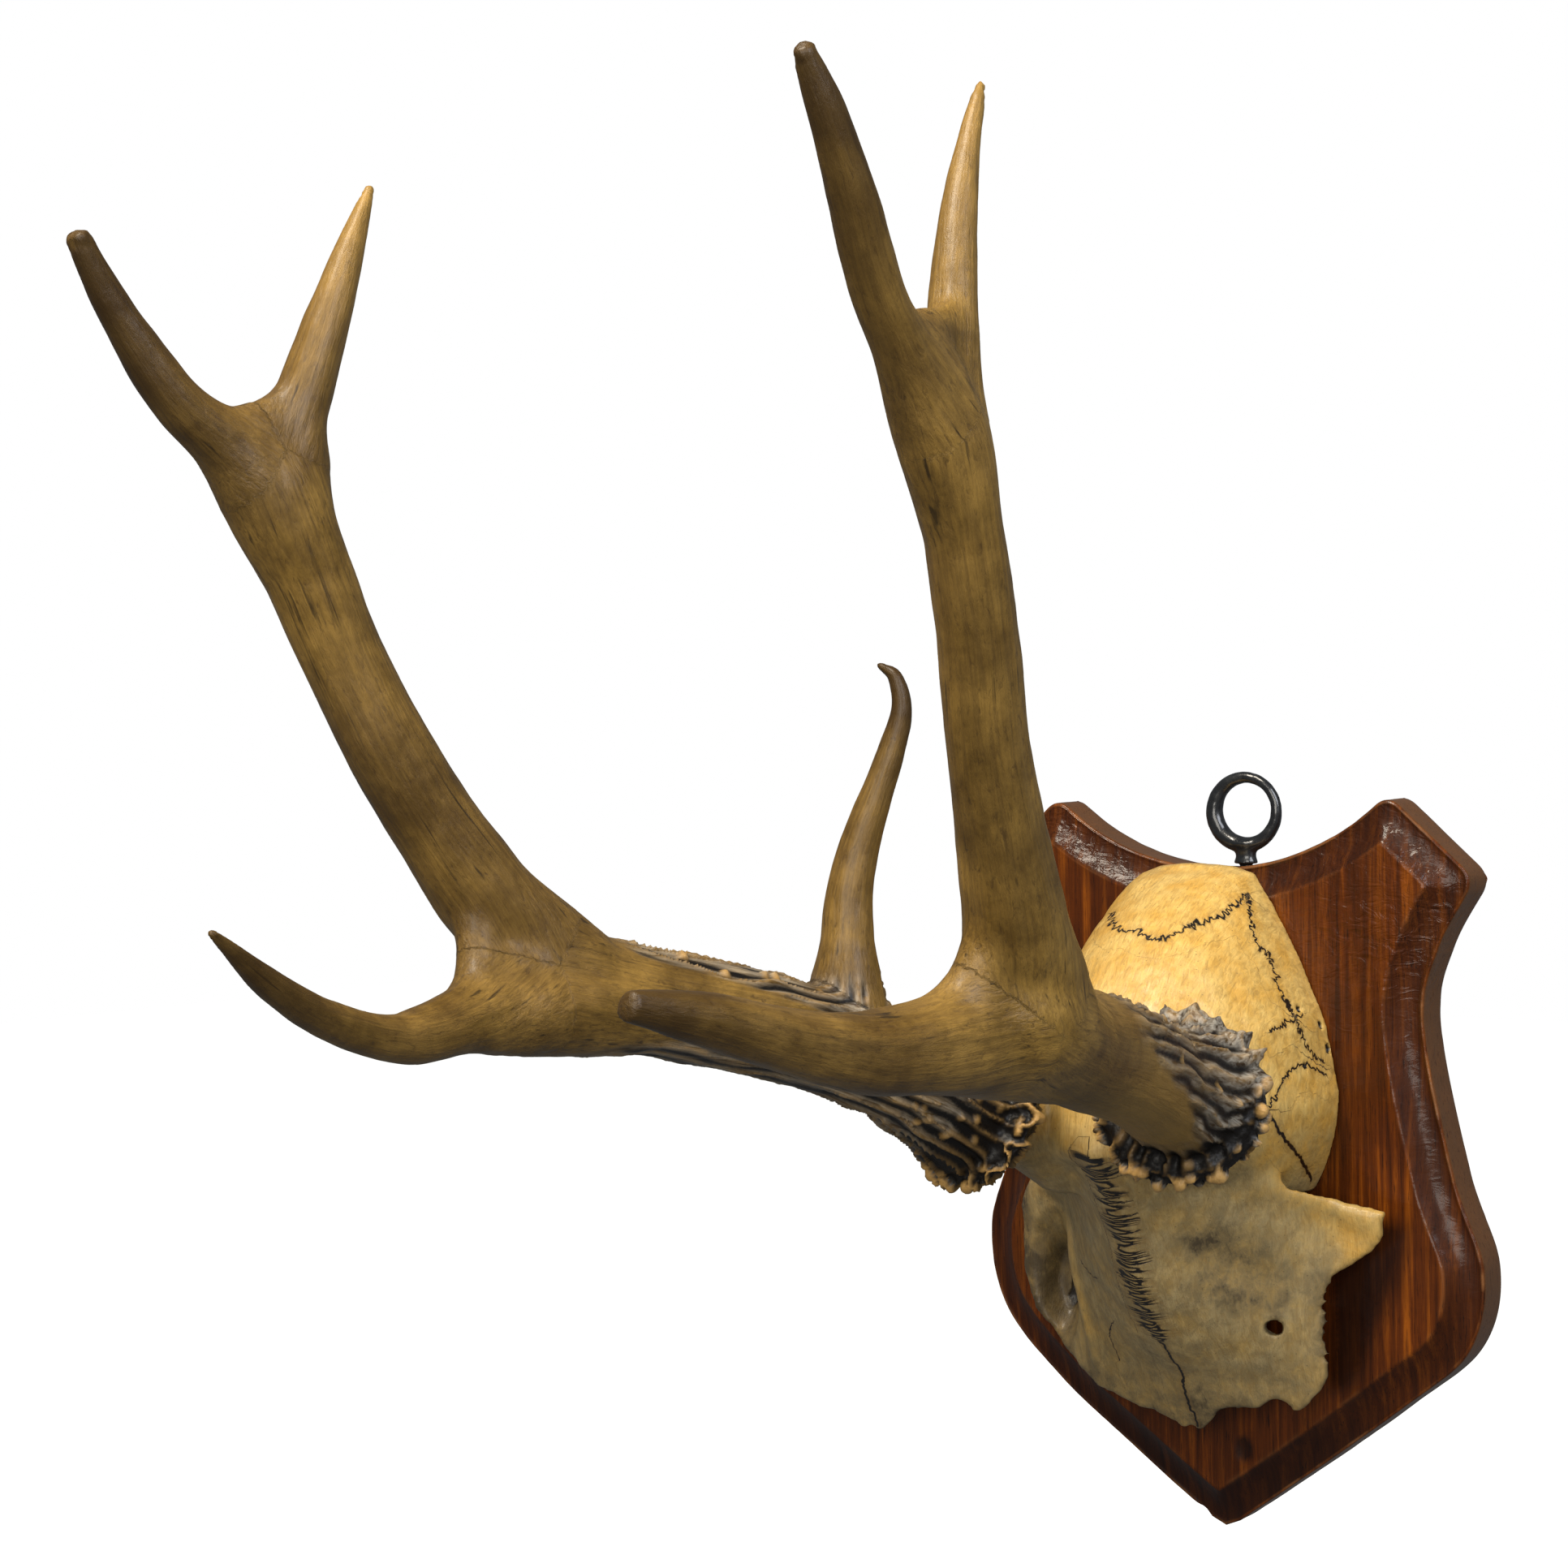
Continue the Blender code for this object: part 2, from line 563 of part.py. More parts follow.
def plate_depth(x, z):
    """Give the depth of the frontal plate's face at x across and z up."""
    mid = along_stations(PLATE_MIDLINE, z)
    share = min(1.0, abs(x) / PLATE_ROOF_HALF)
    out = mid + (min(PLATE_EDGE_OUT, mid) - mid) * share ** PLATE_ROOF_CURVE
    return FOOT_Y - out + PLATE_WING_SLOPE * max(0.0, abs(x) - PLATE_ROOF_HALF)


def add_frontal(shape, cutter_group):
    """Add the frontal plate: a thin roof-shaped sheet standing clear of the board, its left orbit open."""
    rings = []
    for z in np.linspace(BROW_Z, PLATE_LOW_Z, PLATE_ROWS):
        right = along_stations(PLATE_RIGHT, z)
        left = along_stations(PLATE_LEFT, z)
        over = [(px, plate_depth(px, z), z) for px in np.linspace(-left, right, PLATE_COLUMNS)]
        under = [(px * PLATE_UNDER_NARROWING, py + PLATE_THICK, pz) for px, py, pz in reversed(over)]
        rings.append(over + under)
    part = bmesh.new()
    loft(part, rings)
    plate = object_from_bmesh("cutter_plate_blank", part, cutter_group)
    cut = bmesh.new()
    place = Matrix.Translation(side_point(ORBIT_HOLE_AT, 1))
    place = place @ Matrix.Diagonal([value * MM for value in ORBIT_HOLE_SIZE] + [1.0])
    bmesh.ops.create_uvsphere(cut, u_segments=HOLE_SIDES, v_segments=HOLE_SIDES // 2, radius=1.0,
                              matrix=place)
    cutter = object_from_bmesh("cutter_orbit", cut, cutter_group)
    open_orbit = plate.modifiers.new("open orbit", "BOOLEAN")
    open_orbit.operation = "DIFFERENCE"
    open_orbit.solver = "EXACT"
    open_orbit.object = cutter
    bpy.context.view_layer.update()
    mesh = bpy.data.meshes.new_from_object(plate.evaluated_get(bpy.context.evaluated_depsgraph_get()))
    add_mesh(shape, mesh)
    for item in (plate, cutter):
        bpy.data.objects.remove(item, do_unlink=True)


def make_bone(group, cutter_group):
    """Join skull cap and antlers into one natural piece with a single skin."""
    shape = bmesh.new()
    add_braincase(shape)
    add_frontal(shape, cutter_group)
    for side in (1, -1):
        add_antler(shape, side)
    hook = [side_point(point, -1) for point in HOOK_BY]
    add_limb(shape, hook, HOOK_R)
    bone = object_from_bmesh("skull_with_antlers", shape, group)
    skin = bone.modifiers.new("one skin", "REMESH")
    skin.mode = "VOXEL"
    skin.voxel_size = SKIN_VOXEL
    even = bone.modifiers.new("even skin", "SMOOTH")
    even.factor = SKIN_SMOOTH_FACTOR
    even.iterations = SKIN_SMOOTH_STEPS
    fewer = bone.modifiers.new("fewer faces", "DECIMATE")
    fewer.ratio = SKIN_KEEP
    return bone


def make_eye(group):
    """Build the hanging eye: a ring thicker to one side, its neck and its shank."""
    seat = max(edge_height(EYE_X + EYE_NECK_RADIUS), edge_height(EYE_X - EYE_NECK_RADIUS))
    seat += EDGE_FLARE + GAP
    centre_z = seat + EYE_NECK_HEIGHT + EYE_MEAN_RADIUS
    shape = bmesh.new()
    rings = []
    for i in range(EYE_AROUND):
        angle = 2.0 * math.pi * i / EYE_AROUND
        swell = 0.5 - 0.5 * math.sin(angle + EYE_THICK_TURN)
        radius = EYE_THIN + (EYE_THICK - EYE_THIN) * swell
        ring = []
        for j in range(EYE_SIDES):
            turn = 2.0 * math.pi * j / EYE_SIDES
            reach = EYE_MEAN_RADIUS + radius * math.cos(turn)
            ring.append((EYE_X + reach * math.cos(angle), EYE_Y + radius * math.sin(turn),
                         centre_z + reach * math.sin(angle)))
        rings.append([shape.verts.new(point) for point in ring])
    for i in range(EYE_AROUND):
        low = rings[i]
        high = rings[(i + 1) % EYE_AROUND]
        for j in range(EYE_SIDES):
            k = (j + 1) % EYE_SIDES
            shape.faces.new((low[j], low[k], high[k], high[j]))
    eye = object_from_bmesh("hanging_eye", shape, group)
    return eye, seat, centre_z


def add_stem(eye, cutter_group, seat, centre_z):
    """Join the flared neck and the shank to the ring."""
    shape = bmesh.new()
    top = centre_z - EYE_MEAN_RADIUS + NECK_BITE * EYE_THICK
    profile = [(SHANK_RADIUS, seat - SHANK_LENGTH), (SHANK_RADIUS, seat)]
    profile += [(EYE_NECK_RADIUS * width, seat + rise * (top - seat)) for width, rise in NECK_STATIONS]
    rings = []
    turns = np.linspace(0.0, 2.0 * math.pi, NECK_SIDES, endpoint=False)
    for radius, z in profile:
        rings.append([(EYE_X + radius * math.cos(turn), EYE_Y + NECK_FLATNESS * radius * math.sin(turn), z)
                      for turn in turns])
    loft(shape, rings)
    stem = object_from_bmesh("cutter_stem", shape, cutter_group)
    stem.hide_render = True
    stem.display_type = "WIRE"
    weld = eye.modifiers.new("stem", "BOOLEAN")
    weld.operation = "UNION"
    weld.solver = "EXACT"
    weld.object = stem


def main():
    """Build every piece of the plaque."""
    clear_scene()
    whole = make_collection("antler_mounting_plaque")
    cutters = make_collection("cutters")
    board = make_board(whole)
    board.data.materials.append(make_material("varnished_wood", (0.16, 0.055, 0.018), 0.35, 0.0))
    bone = make_bone(whole, cutters)
    bone.data.materials.append(make_material("bone_and_antler", (0.36, 0.25, 0.11), 0.5, 0.0))
    eye, seat, centre_z = make_eye(whole)
    add_stem(eye, cutters, seat, centre_z)
    eye.data.materials.append(make_material("blackened_iron", (0.02, 0.02, 0.022), 0.4, 0.9))
    hole_depth = SHANK_LENGTH + SHANK_HOLE_SPARE
    centre = (EYE_X, EYE_Y, seat + 0.5 * (HOLE_OVERRUN - hole_depth))
    cut_hole(board, cutters, centre, SHANK_RADIUS + HOLE_CLEARANCE, hole_depth + HOLE_OVERRUN)


main()
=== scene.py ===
"""Antler mounting plaque: varnished shield, skull cap with both antlers and a hanging ring.

Everything is in metres in the row frame: +X to the viewer's right, -Y out of the wall,
+Z up. Each visible piece is a surface worked out with numpy and given a procedural finish.
"""

import logging
import math
from dataclasses import dataclass, field
from enum import Enum
from typing import Any, Sequence

import bpy
import numpy as np
from mathutils import Matrix


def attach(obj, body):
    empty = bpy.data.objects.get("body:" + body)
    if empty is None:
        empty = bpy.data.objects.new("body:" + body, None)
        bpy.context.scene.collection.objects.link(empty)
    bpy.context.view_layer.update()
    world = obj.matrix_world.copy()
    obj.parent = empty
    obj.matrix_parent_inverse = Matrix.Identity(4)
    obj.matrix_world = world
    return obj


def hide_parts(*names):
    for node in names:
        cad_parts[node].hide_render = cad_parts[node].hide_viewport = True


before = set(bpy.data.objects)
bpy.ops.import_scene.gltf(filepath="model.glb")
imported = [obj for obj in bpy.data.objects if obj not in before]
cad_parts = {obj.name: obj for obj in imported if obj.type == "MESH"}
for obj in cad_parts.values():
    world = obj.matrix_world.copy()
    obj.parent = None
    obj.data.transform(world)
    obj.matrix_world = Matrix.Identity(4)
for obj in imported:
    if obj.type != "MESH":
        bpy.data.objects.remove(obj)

log = logging.getLogger("plaque")

MM = 0.001
Array = np.ndarray
Shell = tuple[Array, list[tuple[int, ...]]]


class Side(Enum):
    """Which antler, as the sign of its X."""

    RIGHT = 1
    LEFT = -1


class Tip(Enum):
    """How a limb ends, as the length of its end cap over its last radius."""

    POINTED = 1.4
    ROUND = 1.0
    BLUNT = 0.28


# Numbers on arrays

def smooth_step(low: float, high: float, value: Array) -> Array:
    """Give 0 below low, 1 above high and 3t^2 - 2t^3 between them.

    Args:
        low: Value where the step begins.
        high: Value where the step ends; it may be below low for a falling step.
        value: Values to step.

    Returns:
        The step of each value.
    """
    t = np.clip((np.asarray(value) - low) / (high - low), 0.0, 1.0)
    return t * t * (3.0 - 2.0 * t)


def hashed(cell: Array, seed: int) -> Array:
    """Turn whole-numbered cells into even random values from 0 to 1.

    Args:
        cell: Whole-numbered corners, shape (..., 3).
        seed: Number that picks the pattern.

    Returns:
        One value for each corner.
    """
    c = cell.astype(np.int64)
    h = (c[..., 0] * 73856093) ^ (c[..., 1] * 19349663) ^ (c[..., 2] * 83492791) ^ (seed * 2654435761)
    h = (h ^ (h >> 13)) & 0xFFFFFFFF
    h = (h * 1274126177) & 0xFFFFFFFF
    h = (h ^ (h >> 16)) & 0xFFFFFFFF
    h = (h * 2246822519) & 0xFFFFFFFF
    return ((h ^ (h >> 15)) & 0xFFFFFF) / float(0xFFFFFF)


def noise(points: Array, seed: int) -> Array:
    """Blend random corner values of the unit lattice with 6t^5 - 15t^4 + 10t^3.

    Args:
        points: Points measured in wave lengths, shape (n, 3).
        seed: Number that picks the pattern.

    Returns:
        Smooth values from 0 to 1.
    """
    base = np.floor(points)
    t = points - base
    t = t * t * t * (t * (t * 6.0 - 15.0) + 10.0)
    total = np.zeros(len(points))
    for corner in np.ndindex(2, 2, 2):
        pick = np.array(corner)
        weight = np.prod(np.where(pick, t, 1.0 - t), axis=1)
        total += weight * hashed(base + pick, seed)
    return total


def layers(points: Array, octaves: int, seed: int) -> Array:
    """Add halving layers of noise, each twice as fine, and scale the sum to 0 to 1."""
    total = np.zeros(len(points))
    weight = 0.0
    for k in range(octaves):
        total += 0.5 ** k * noise(points * 2.0 ** k, seed + 17 * k)
        weight += 0.5 ** k
    return total / weight


def cells(points: Array, seed: int) -> tuple[Array, Array]:
    """Find the nearest of one random seed point in each cell of the unit lattice.

    Args:
        points: Points measured in cell widths, shape (n, 3).
        seed: Number that picks the pattern.

    Returns:
        The distance to the nearest seed point and that seed point's own random value.
    """
    base = np.floor(points)
    best = np.full(len(points), 9.0)
    value = np.zeros(len(points))
    for step in np.ndindex(3, 3, 3):
        cell = base + np.array(step) - 1.0
        spot = np.stack([hashed(cell, seed + k) for k in (1, 2, 3)], axis=1)
        gap = np.linalg.norm(cell + 0.15 + 0.7 * spot - points, axis=1)
        nearer = gap < best
        best = np.where(nearer, gap, best)
        value = np.where(nearer, hashed(cell, seed + 4), value)
    return best, value


def unit(vectors: Array) -> Array:
    """Scale each vector to length 1."""
    return vectors / np.maximum(np.linalg.norm(vectors, axis=-1, keepdims=True), 1e-12)


def spline(corners: Array, steps: int) -> Array:
    """Sample a Catmull-Rom path, a cubic through each pair of corners with its neighbours' slope.

    Args:
        corners: Corner points, shape (n, k).
        steps: Samples on each span.

    Returns:
        Samples along the whole path, the last corner included.
    """
    p = np.vstack([2.0 * corners[0] - corners[1], corners, 2.0 * corners[-1] - corners[-2]])
    t = np.linspace(0.0, 1.0, steps, endpoint=False)[None, :, None]
    a, b, c, d = (p[k:k + len(corners) - 1, None, :] for k in range(4))
    line = 0.5 * (2 * b + (c - a) * t + (2 * a - 5 * b + 4 * c - d) * t * t
                  + (3 * b - a - 3 * c + d) * t ** 3)
    return np.vstack([line.reshape(-1, corners.shape[1]), corners[-1]])


def run_length(line: Array) -> Array:
    """Add up the distance along a polyline, 0 at its first point."""
    return np.concatenate([[0.0], np.cumsum(np.linalg.norm(np.diff(line, axis=0), axis=1))])


def respace(line: Array, count: int) -> Array:
    """Place count points evenly along a polyline."""
    at = run_length(line)
    even = np.linspace(0.0, at[-1], count)
    return np.stack([np.interp(even, at, line[:, k]) for k in range(line.shape[1])], axis=1)


def nearest(points: Array, samples: Array, spare: Array | None = None) -> tuple[Array, Array]:
    """Find each point's nearest sample, in blocks that keep memory small.

    Args:
        points: Points to place, shape (n, 3).
        samples: Samples to choose from, shape (m, 3).
        spare: Amount taken off the distance to each sample, such as its radius.

    Returns:
        The index of the nearest sample and the distance to it.
    """
    index = np.zeros(len(points), dtype=np.int64)
    gap = np.zeros(len(points))
    size = (samples ** 2).sum(1)
    for low in range(0, len(points), 20000):
        part = points[low:low + 20000]
        square = (part ** 2).sum(1)[:, None] + size[None, :] - 2.0 * part @ samples.T
        distance = np.sqrt(np.maximum(square, 0.0))
        if spare is not None:
            distance = distance - spare[None, :]
        index[low:low + 20000] = distance.argmin(1)
        gap[low:low + 20000] = distance.min(1)
    return index, gap


# Meshes

def grid_faces(rows: int, columns: int, wrap: bool) -> Array:
    """List the quads of a grid of points stored row by row, joined round if wrap is true."""
    i, j = np.meshgrid(np.arange(rows - 1), np.arange(columns if wrap else columns - 1), indexing="ij")
    k = (j + 1) % columns
    quads = np.stack([i * columns + j, i * columns + k, (i + 1) * columns + k, (i + 1) * columns + j], -1)
    return quads.reshape(-1, 4)


def closed_rings(rings: Array) -> Shell:
    """Skin rings of points in order and close both ends with a fan to the ring's middle.

    Args:
        rings: Points, shape (rings, points in a ring, 3).

    Returns:
        A closed shell of points and faces.
    """
    rows, columns = rings.shape[:2]
    points = np.vstack([rings.reshape(-1, 3), rings[0].mean(0), rings[-1].mean(0)])
    faces = [tuple(quad) for quad in grid_faces(rows, columns, True).tolist()]
    first, last = rows * columns, rows * columns + 1
    j = np.arange(columns)
    k = (j + 1) % columns
    top = (rows - 1) * columns
    faces += [tuple(f) for f in np.stack([k, j, np.full(columns, first)], 1).tolist()]
    faces += [tuple(f) for f in np.stack([top + j, top + k, np.full(columns, last)], 1).tolist()]
    return points, faces


def sheet_from_mask(xs: Array, zs: Array, front: Array, back: Array, mask: Array) -> Shell:
    """Make a closed sheet from the cells of a grid that a mask keeps.

    The front and back points are y = front(x, z) and y = back(x, z) on the same grid, and
    each kept cell whose neighbour is left out gets a wall there.

    Args:
        xs: Columns' places.
        zs: Rows' places.
        front: Front depth at each grid point, shape (rows, columns).
        back: Back depth at each grid point.
        mask: Kept cells, shape (rows - 1, columns - 1).

    Returns:
        A closed shell of points and faces.
    """
    rows, columns = front.shape
    gx, gz = np.meshgrid(xs, zs)
    over = np.stack([gx, front, gz], -1).reshape(-1, 3)
    under = np.stack([gx, back, gz], -1).reshape(-1, 3)
    here = np.arange(rows * columns).reshape(rows, columns)
    a, b, c, d = here[:-1, :-1], here[:-1, 1:], here[1:, 1:], here[1:, :-1]
    lift = rows * columns
    parts = [np.stack([a, b, c, d], -1)[mask], np.stack([d, c, b, a], -1)[mask] + lift]
    wide = np.pad(mask, 1)
    inside = wide[1:-1, 1:-1]
    for shifted, p, q in ((wide[:-2, 1:-1], b, a), (wide[2:, 1:-1], d, c),
                          (wide[1:-1, :-2], a, d), (wide[1:-1, 2:], c, b)):
        open_side = inside & ~shifted
        parts.append(np.stack([p, q, q + lift, p + lift], -1)[open_side])
    faces = np.vstack(parts)
    used, inverse = np.unique(faces, return_inverse=True)
    points = np.vstack([over, under])[used]
    return points, [tuple(f) for f in inverse.reshape(faces.shape).tolist()]


def inside_outline(x: Array, z: Array, outline: Array) -> Array:
    """Tell which places lie inside a closed outline, by counting the edges crossed to the right."""
    inside = np.zeros(x.shape, dtype=bool)
    ends = np.roll(outline, -1, axis=0)
    for (ax, az), (bx, bz) in zip(outline, ends):
        if az == bz:
            continue
        crosses = (az > z) != (bz > z)
        at = ax + (z - az) * (bx - ax) / (bz - az)
        inside ^= crosses & (x < at)
    return inside


def make_mesh(name: str, points: Array, faces: Sequence[Sequence[int]]) -> bpy.types.Mesh:
    """Put points and faces into a new mesh."""
    mesh = bpy.data.meshes.new(name)
    mesh.from_pydata(points.tolist(), [], faces)
    mesh.update()
    return mesh


def read_mesh(mesh: bpy.types.Mesh) -> tuple[Array, Array]:
    """Read a mesh's points and their normals as arrays of shape (n, 3)."""
    points = np.empty(len(mesh.vertices) * 3)
    normals = np.empty(len(mesh.vertices) * 3)
    mesh.vertices.foreach_get("co", points)
    mesh.vertices.foreach_get("normal", normals)
    return points.reshape(-1, 3), normals.reshape(-1, 3)


def one_skin(shells: Sequence[Shell], voxel: float, smooth: int) -> bpy.types.Mesh:
    """Join overlapping closed shells into one even skin.

    Args:
        shells: Closed shells that overlap where they join.
        voxel: Size of the skin's faces.
        smooth: Rounds of smoothing.

    Returns:
        The joined mesh.
    """
    points = []
    faces: list[tuple[int, ...]] = []
    start = 0
    for shell_points, shell_faces in shells:
        points.append(shell_points)
        faces += [tuple(start + index for index in f) for f in shell_faces]
        start += len(shell_points)
    mesh = make_mesh("shells", np.vstack(points), faces)
    holder = bpy.data.objects.new("shells", mesh)
    bpy.context.scene.collection.objects.link(holder)
    join = holder.modifiers.new("join", "REMESH")
    join.mode = "VOXEL"
    join.voxel_size = voxel
    even = holder.modifiers.new("even", "SMOOTH")
    even.factor = 0.5
    even.iterations = smooth
    bpy.context.view_layer.update()
    skin = bpy.data.meshes.new_from_object(holder.evaluated_get(bpy.context.evaluated_depsgraph_get()))
    bpy.data.objects.remove(holder, do_unlink=True)
    bpy.data.meshes.remove(mesh)
    return skin


def relax(mesh: bpy.types.Mesh, weight: Array, rounds: int) -> None:
    """Move each point part of the way to its neighbours' mean, so that creases fill and edges round.

    Args:
        mesh: Mesh to smooth in place.
        weight: Share moved in each round, from 0 to 1 for each point.
        rounds: Number of rounds.
    """
    points, _ = read_mesh(mesh)
    edges = np.empty(len(mesh.edges) * 2, dtype=np.int64)
    mesh.edges.foreach_get("vertices", edges)
    a, b = edges.reshape(-1, 2).T
    near = weight[a] + weight[b] > 0.0
    a, b = a[near], b[near]
    count = np.maximum(np.bincount(a, minlength=len(points)) + np.bincount(b, minlength=len(points)), 1)
    for _ in range(rounds):
        mean = np.stack([np.bincount(a, points[b, k], len(points)) + np.bincount(b, points[a, k], len(points))
                         for k in range(3)], axis=1) / count[:, None]
        points += weight[:, None] * (mean - points)
    mesh.vertices.foreach_set("co", points.ravel())
    mesh.update()


def put_attribute(mesh: bpy.types.Mesh, name: str, values: Array) -> None:
    """Store one number, or one vector, for each point of a mesh."""
    kind = "FLOAT_VECTOR" if values.ndim == 2 else "FLOAT"
    stored = mesh.attributes.new(name, kind, "POINT")
    stored.data.foreach_set("vector" if values.ndim == 2 else "value", values.astype(np.float32).ravel())


def show(name: str, mesh: bpy.types.Mesh, finish: bpy.types.Material, slot: str,
         *nodes: str) -> bpy.types.Object:
    """Put a finished mesh in the scene, riding on the root body in place of CAD nodes.

    Args:
        name: The piece's name.
        mesh: Its mesh, already in place.
        finish: Its material.
        slot: The record's material slot; not used.
        nodes: CAD nodes that it stands for.

    Returns:
        The new object.
    """
    mesh.name = name
    mesh.shade_smooth()
    mesh.materials.clear()
    mesh.materials.append(finish)
    piece = bpy.data.objects.new(name, mesh)
    bpy.context.scene.collection.objects.link(piece)
    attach(piece, "root")
    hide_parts(*nodes)
    log.info("%s: %d points, %d faces", name, len(mesh.vertices), len(mesh.polygons))
    return piece


# Materials

def colour(code: str) -> tuple[float, float, float, float]:
    """Turn an sRGB hex colour into linear red, green, blue and full alpha."""
    parts = [int(code[k:k + 2], 16) / 255.0 for k in (1, 3, 5)]
    linear = [c / 12.92 if c <= 0.04045 else ((c + 0.055) / 1.055) ** 2.4 for c in parts]
    return (linear[0], linear[1], linear[2], 1.0)


def add(tree: bpy.types.NodeTree, kind: str, settings: dict[str, Any] | None = None,
        inputs: dict[Any, Any] | None = None) -> bpy.types.Node:
    """Add a node with its settings, and fill or link its inputs.

    Args:
        tree: The material's node tree.
        kind: Blender's name for the node.
        settings: Properties to set; a list under "ramp" gives a ramp's stops.
        inputs: Input name or number to a value, or to the output that feeds it.

    Returns:
        The new node.
    """
    node = tree.nodes.new(kind)
    for key, value in (settings or {}).items():
        if key == "ramp":
            stops = node.color_ramp.elements
            while len(stops) < len(value):
                stops.new(0.5)
            for stop, (at, code) in zip(stops, value):
                stop.position = at
                stop.color = colour(code) if isinstance(code, str) else (code, code, code, 1.0)
        else:
            setattr(node, key, value)
    for key, value in (inputs or {}).items():
        if isinstance(value, bpy.types.NodeSocket):
            tree.links.new(value, node.inputs[key])
        else:
            node.inputs[key].default_value = value
    return node


def new_material(name: str, **shader_values: Any) -> tuple[bpy.types.Material, bpy.types.NodeTree, Any]:
    """Start a material with its Principled shader's constants set on its own sockets."""
    made = bpy.data.materials.new(name)
    made.use_nodes = True
    shader = made.node_tree.nodes["Principled BSDF"]
    for key, value in shader_values.items():
        shader.inputs[key.replace("_", " ")].default_value = value
    return made, made.node_tree, shader


def stretched(tree: bpy.types.NodeTree, source: Any, per_metre: tuple[float, float, float]) -> Any:
    """Scale a coordinate so that one unit is one wave of the pattern along each axis."""
    return add(tree, "ShaderNodeMapping", {}, {"Vector": source, "Scale": per_metre}).outputs[0]


def mixed(tree: bpy.types.NodeTree, share: Any, first: Any, second: Any, mode: str = "MIX") -> Any:
    """Mix two colours by a share, either of them a hex code or an output."""
    node = add(tree, "ShaderNodeMix", {"data_type": "RGBA", "blend_type": mode, "clamp_factor": True},
               {0: share, 6: colour(first) if isinstance(first, str) else first,
                7: colour(second) if isinstance(second, str) else second})
    return node.outputs[2]


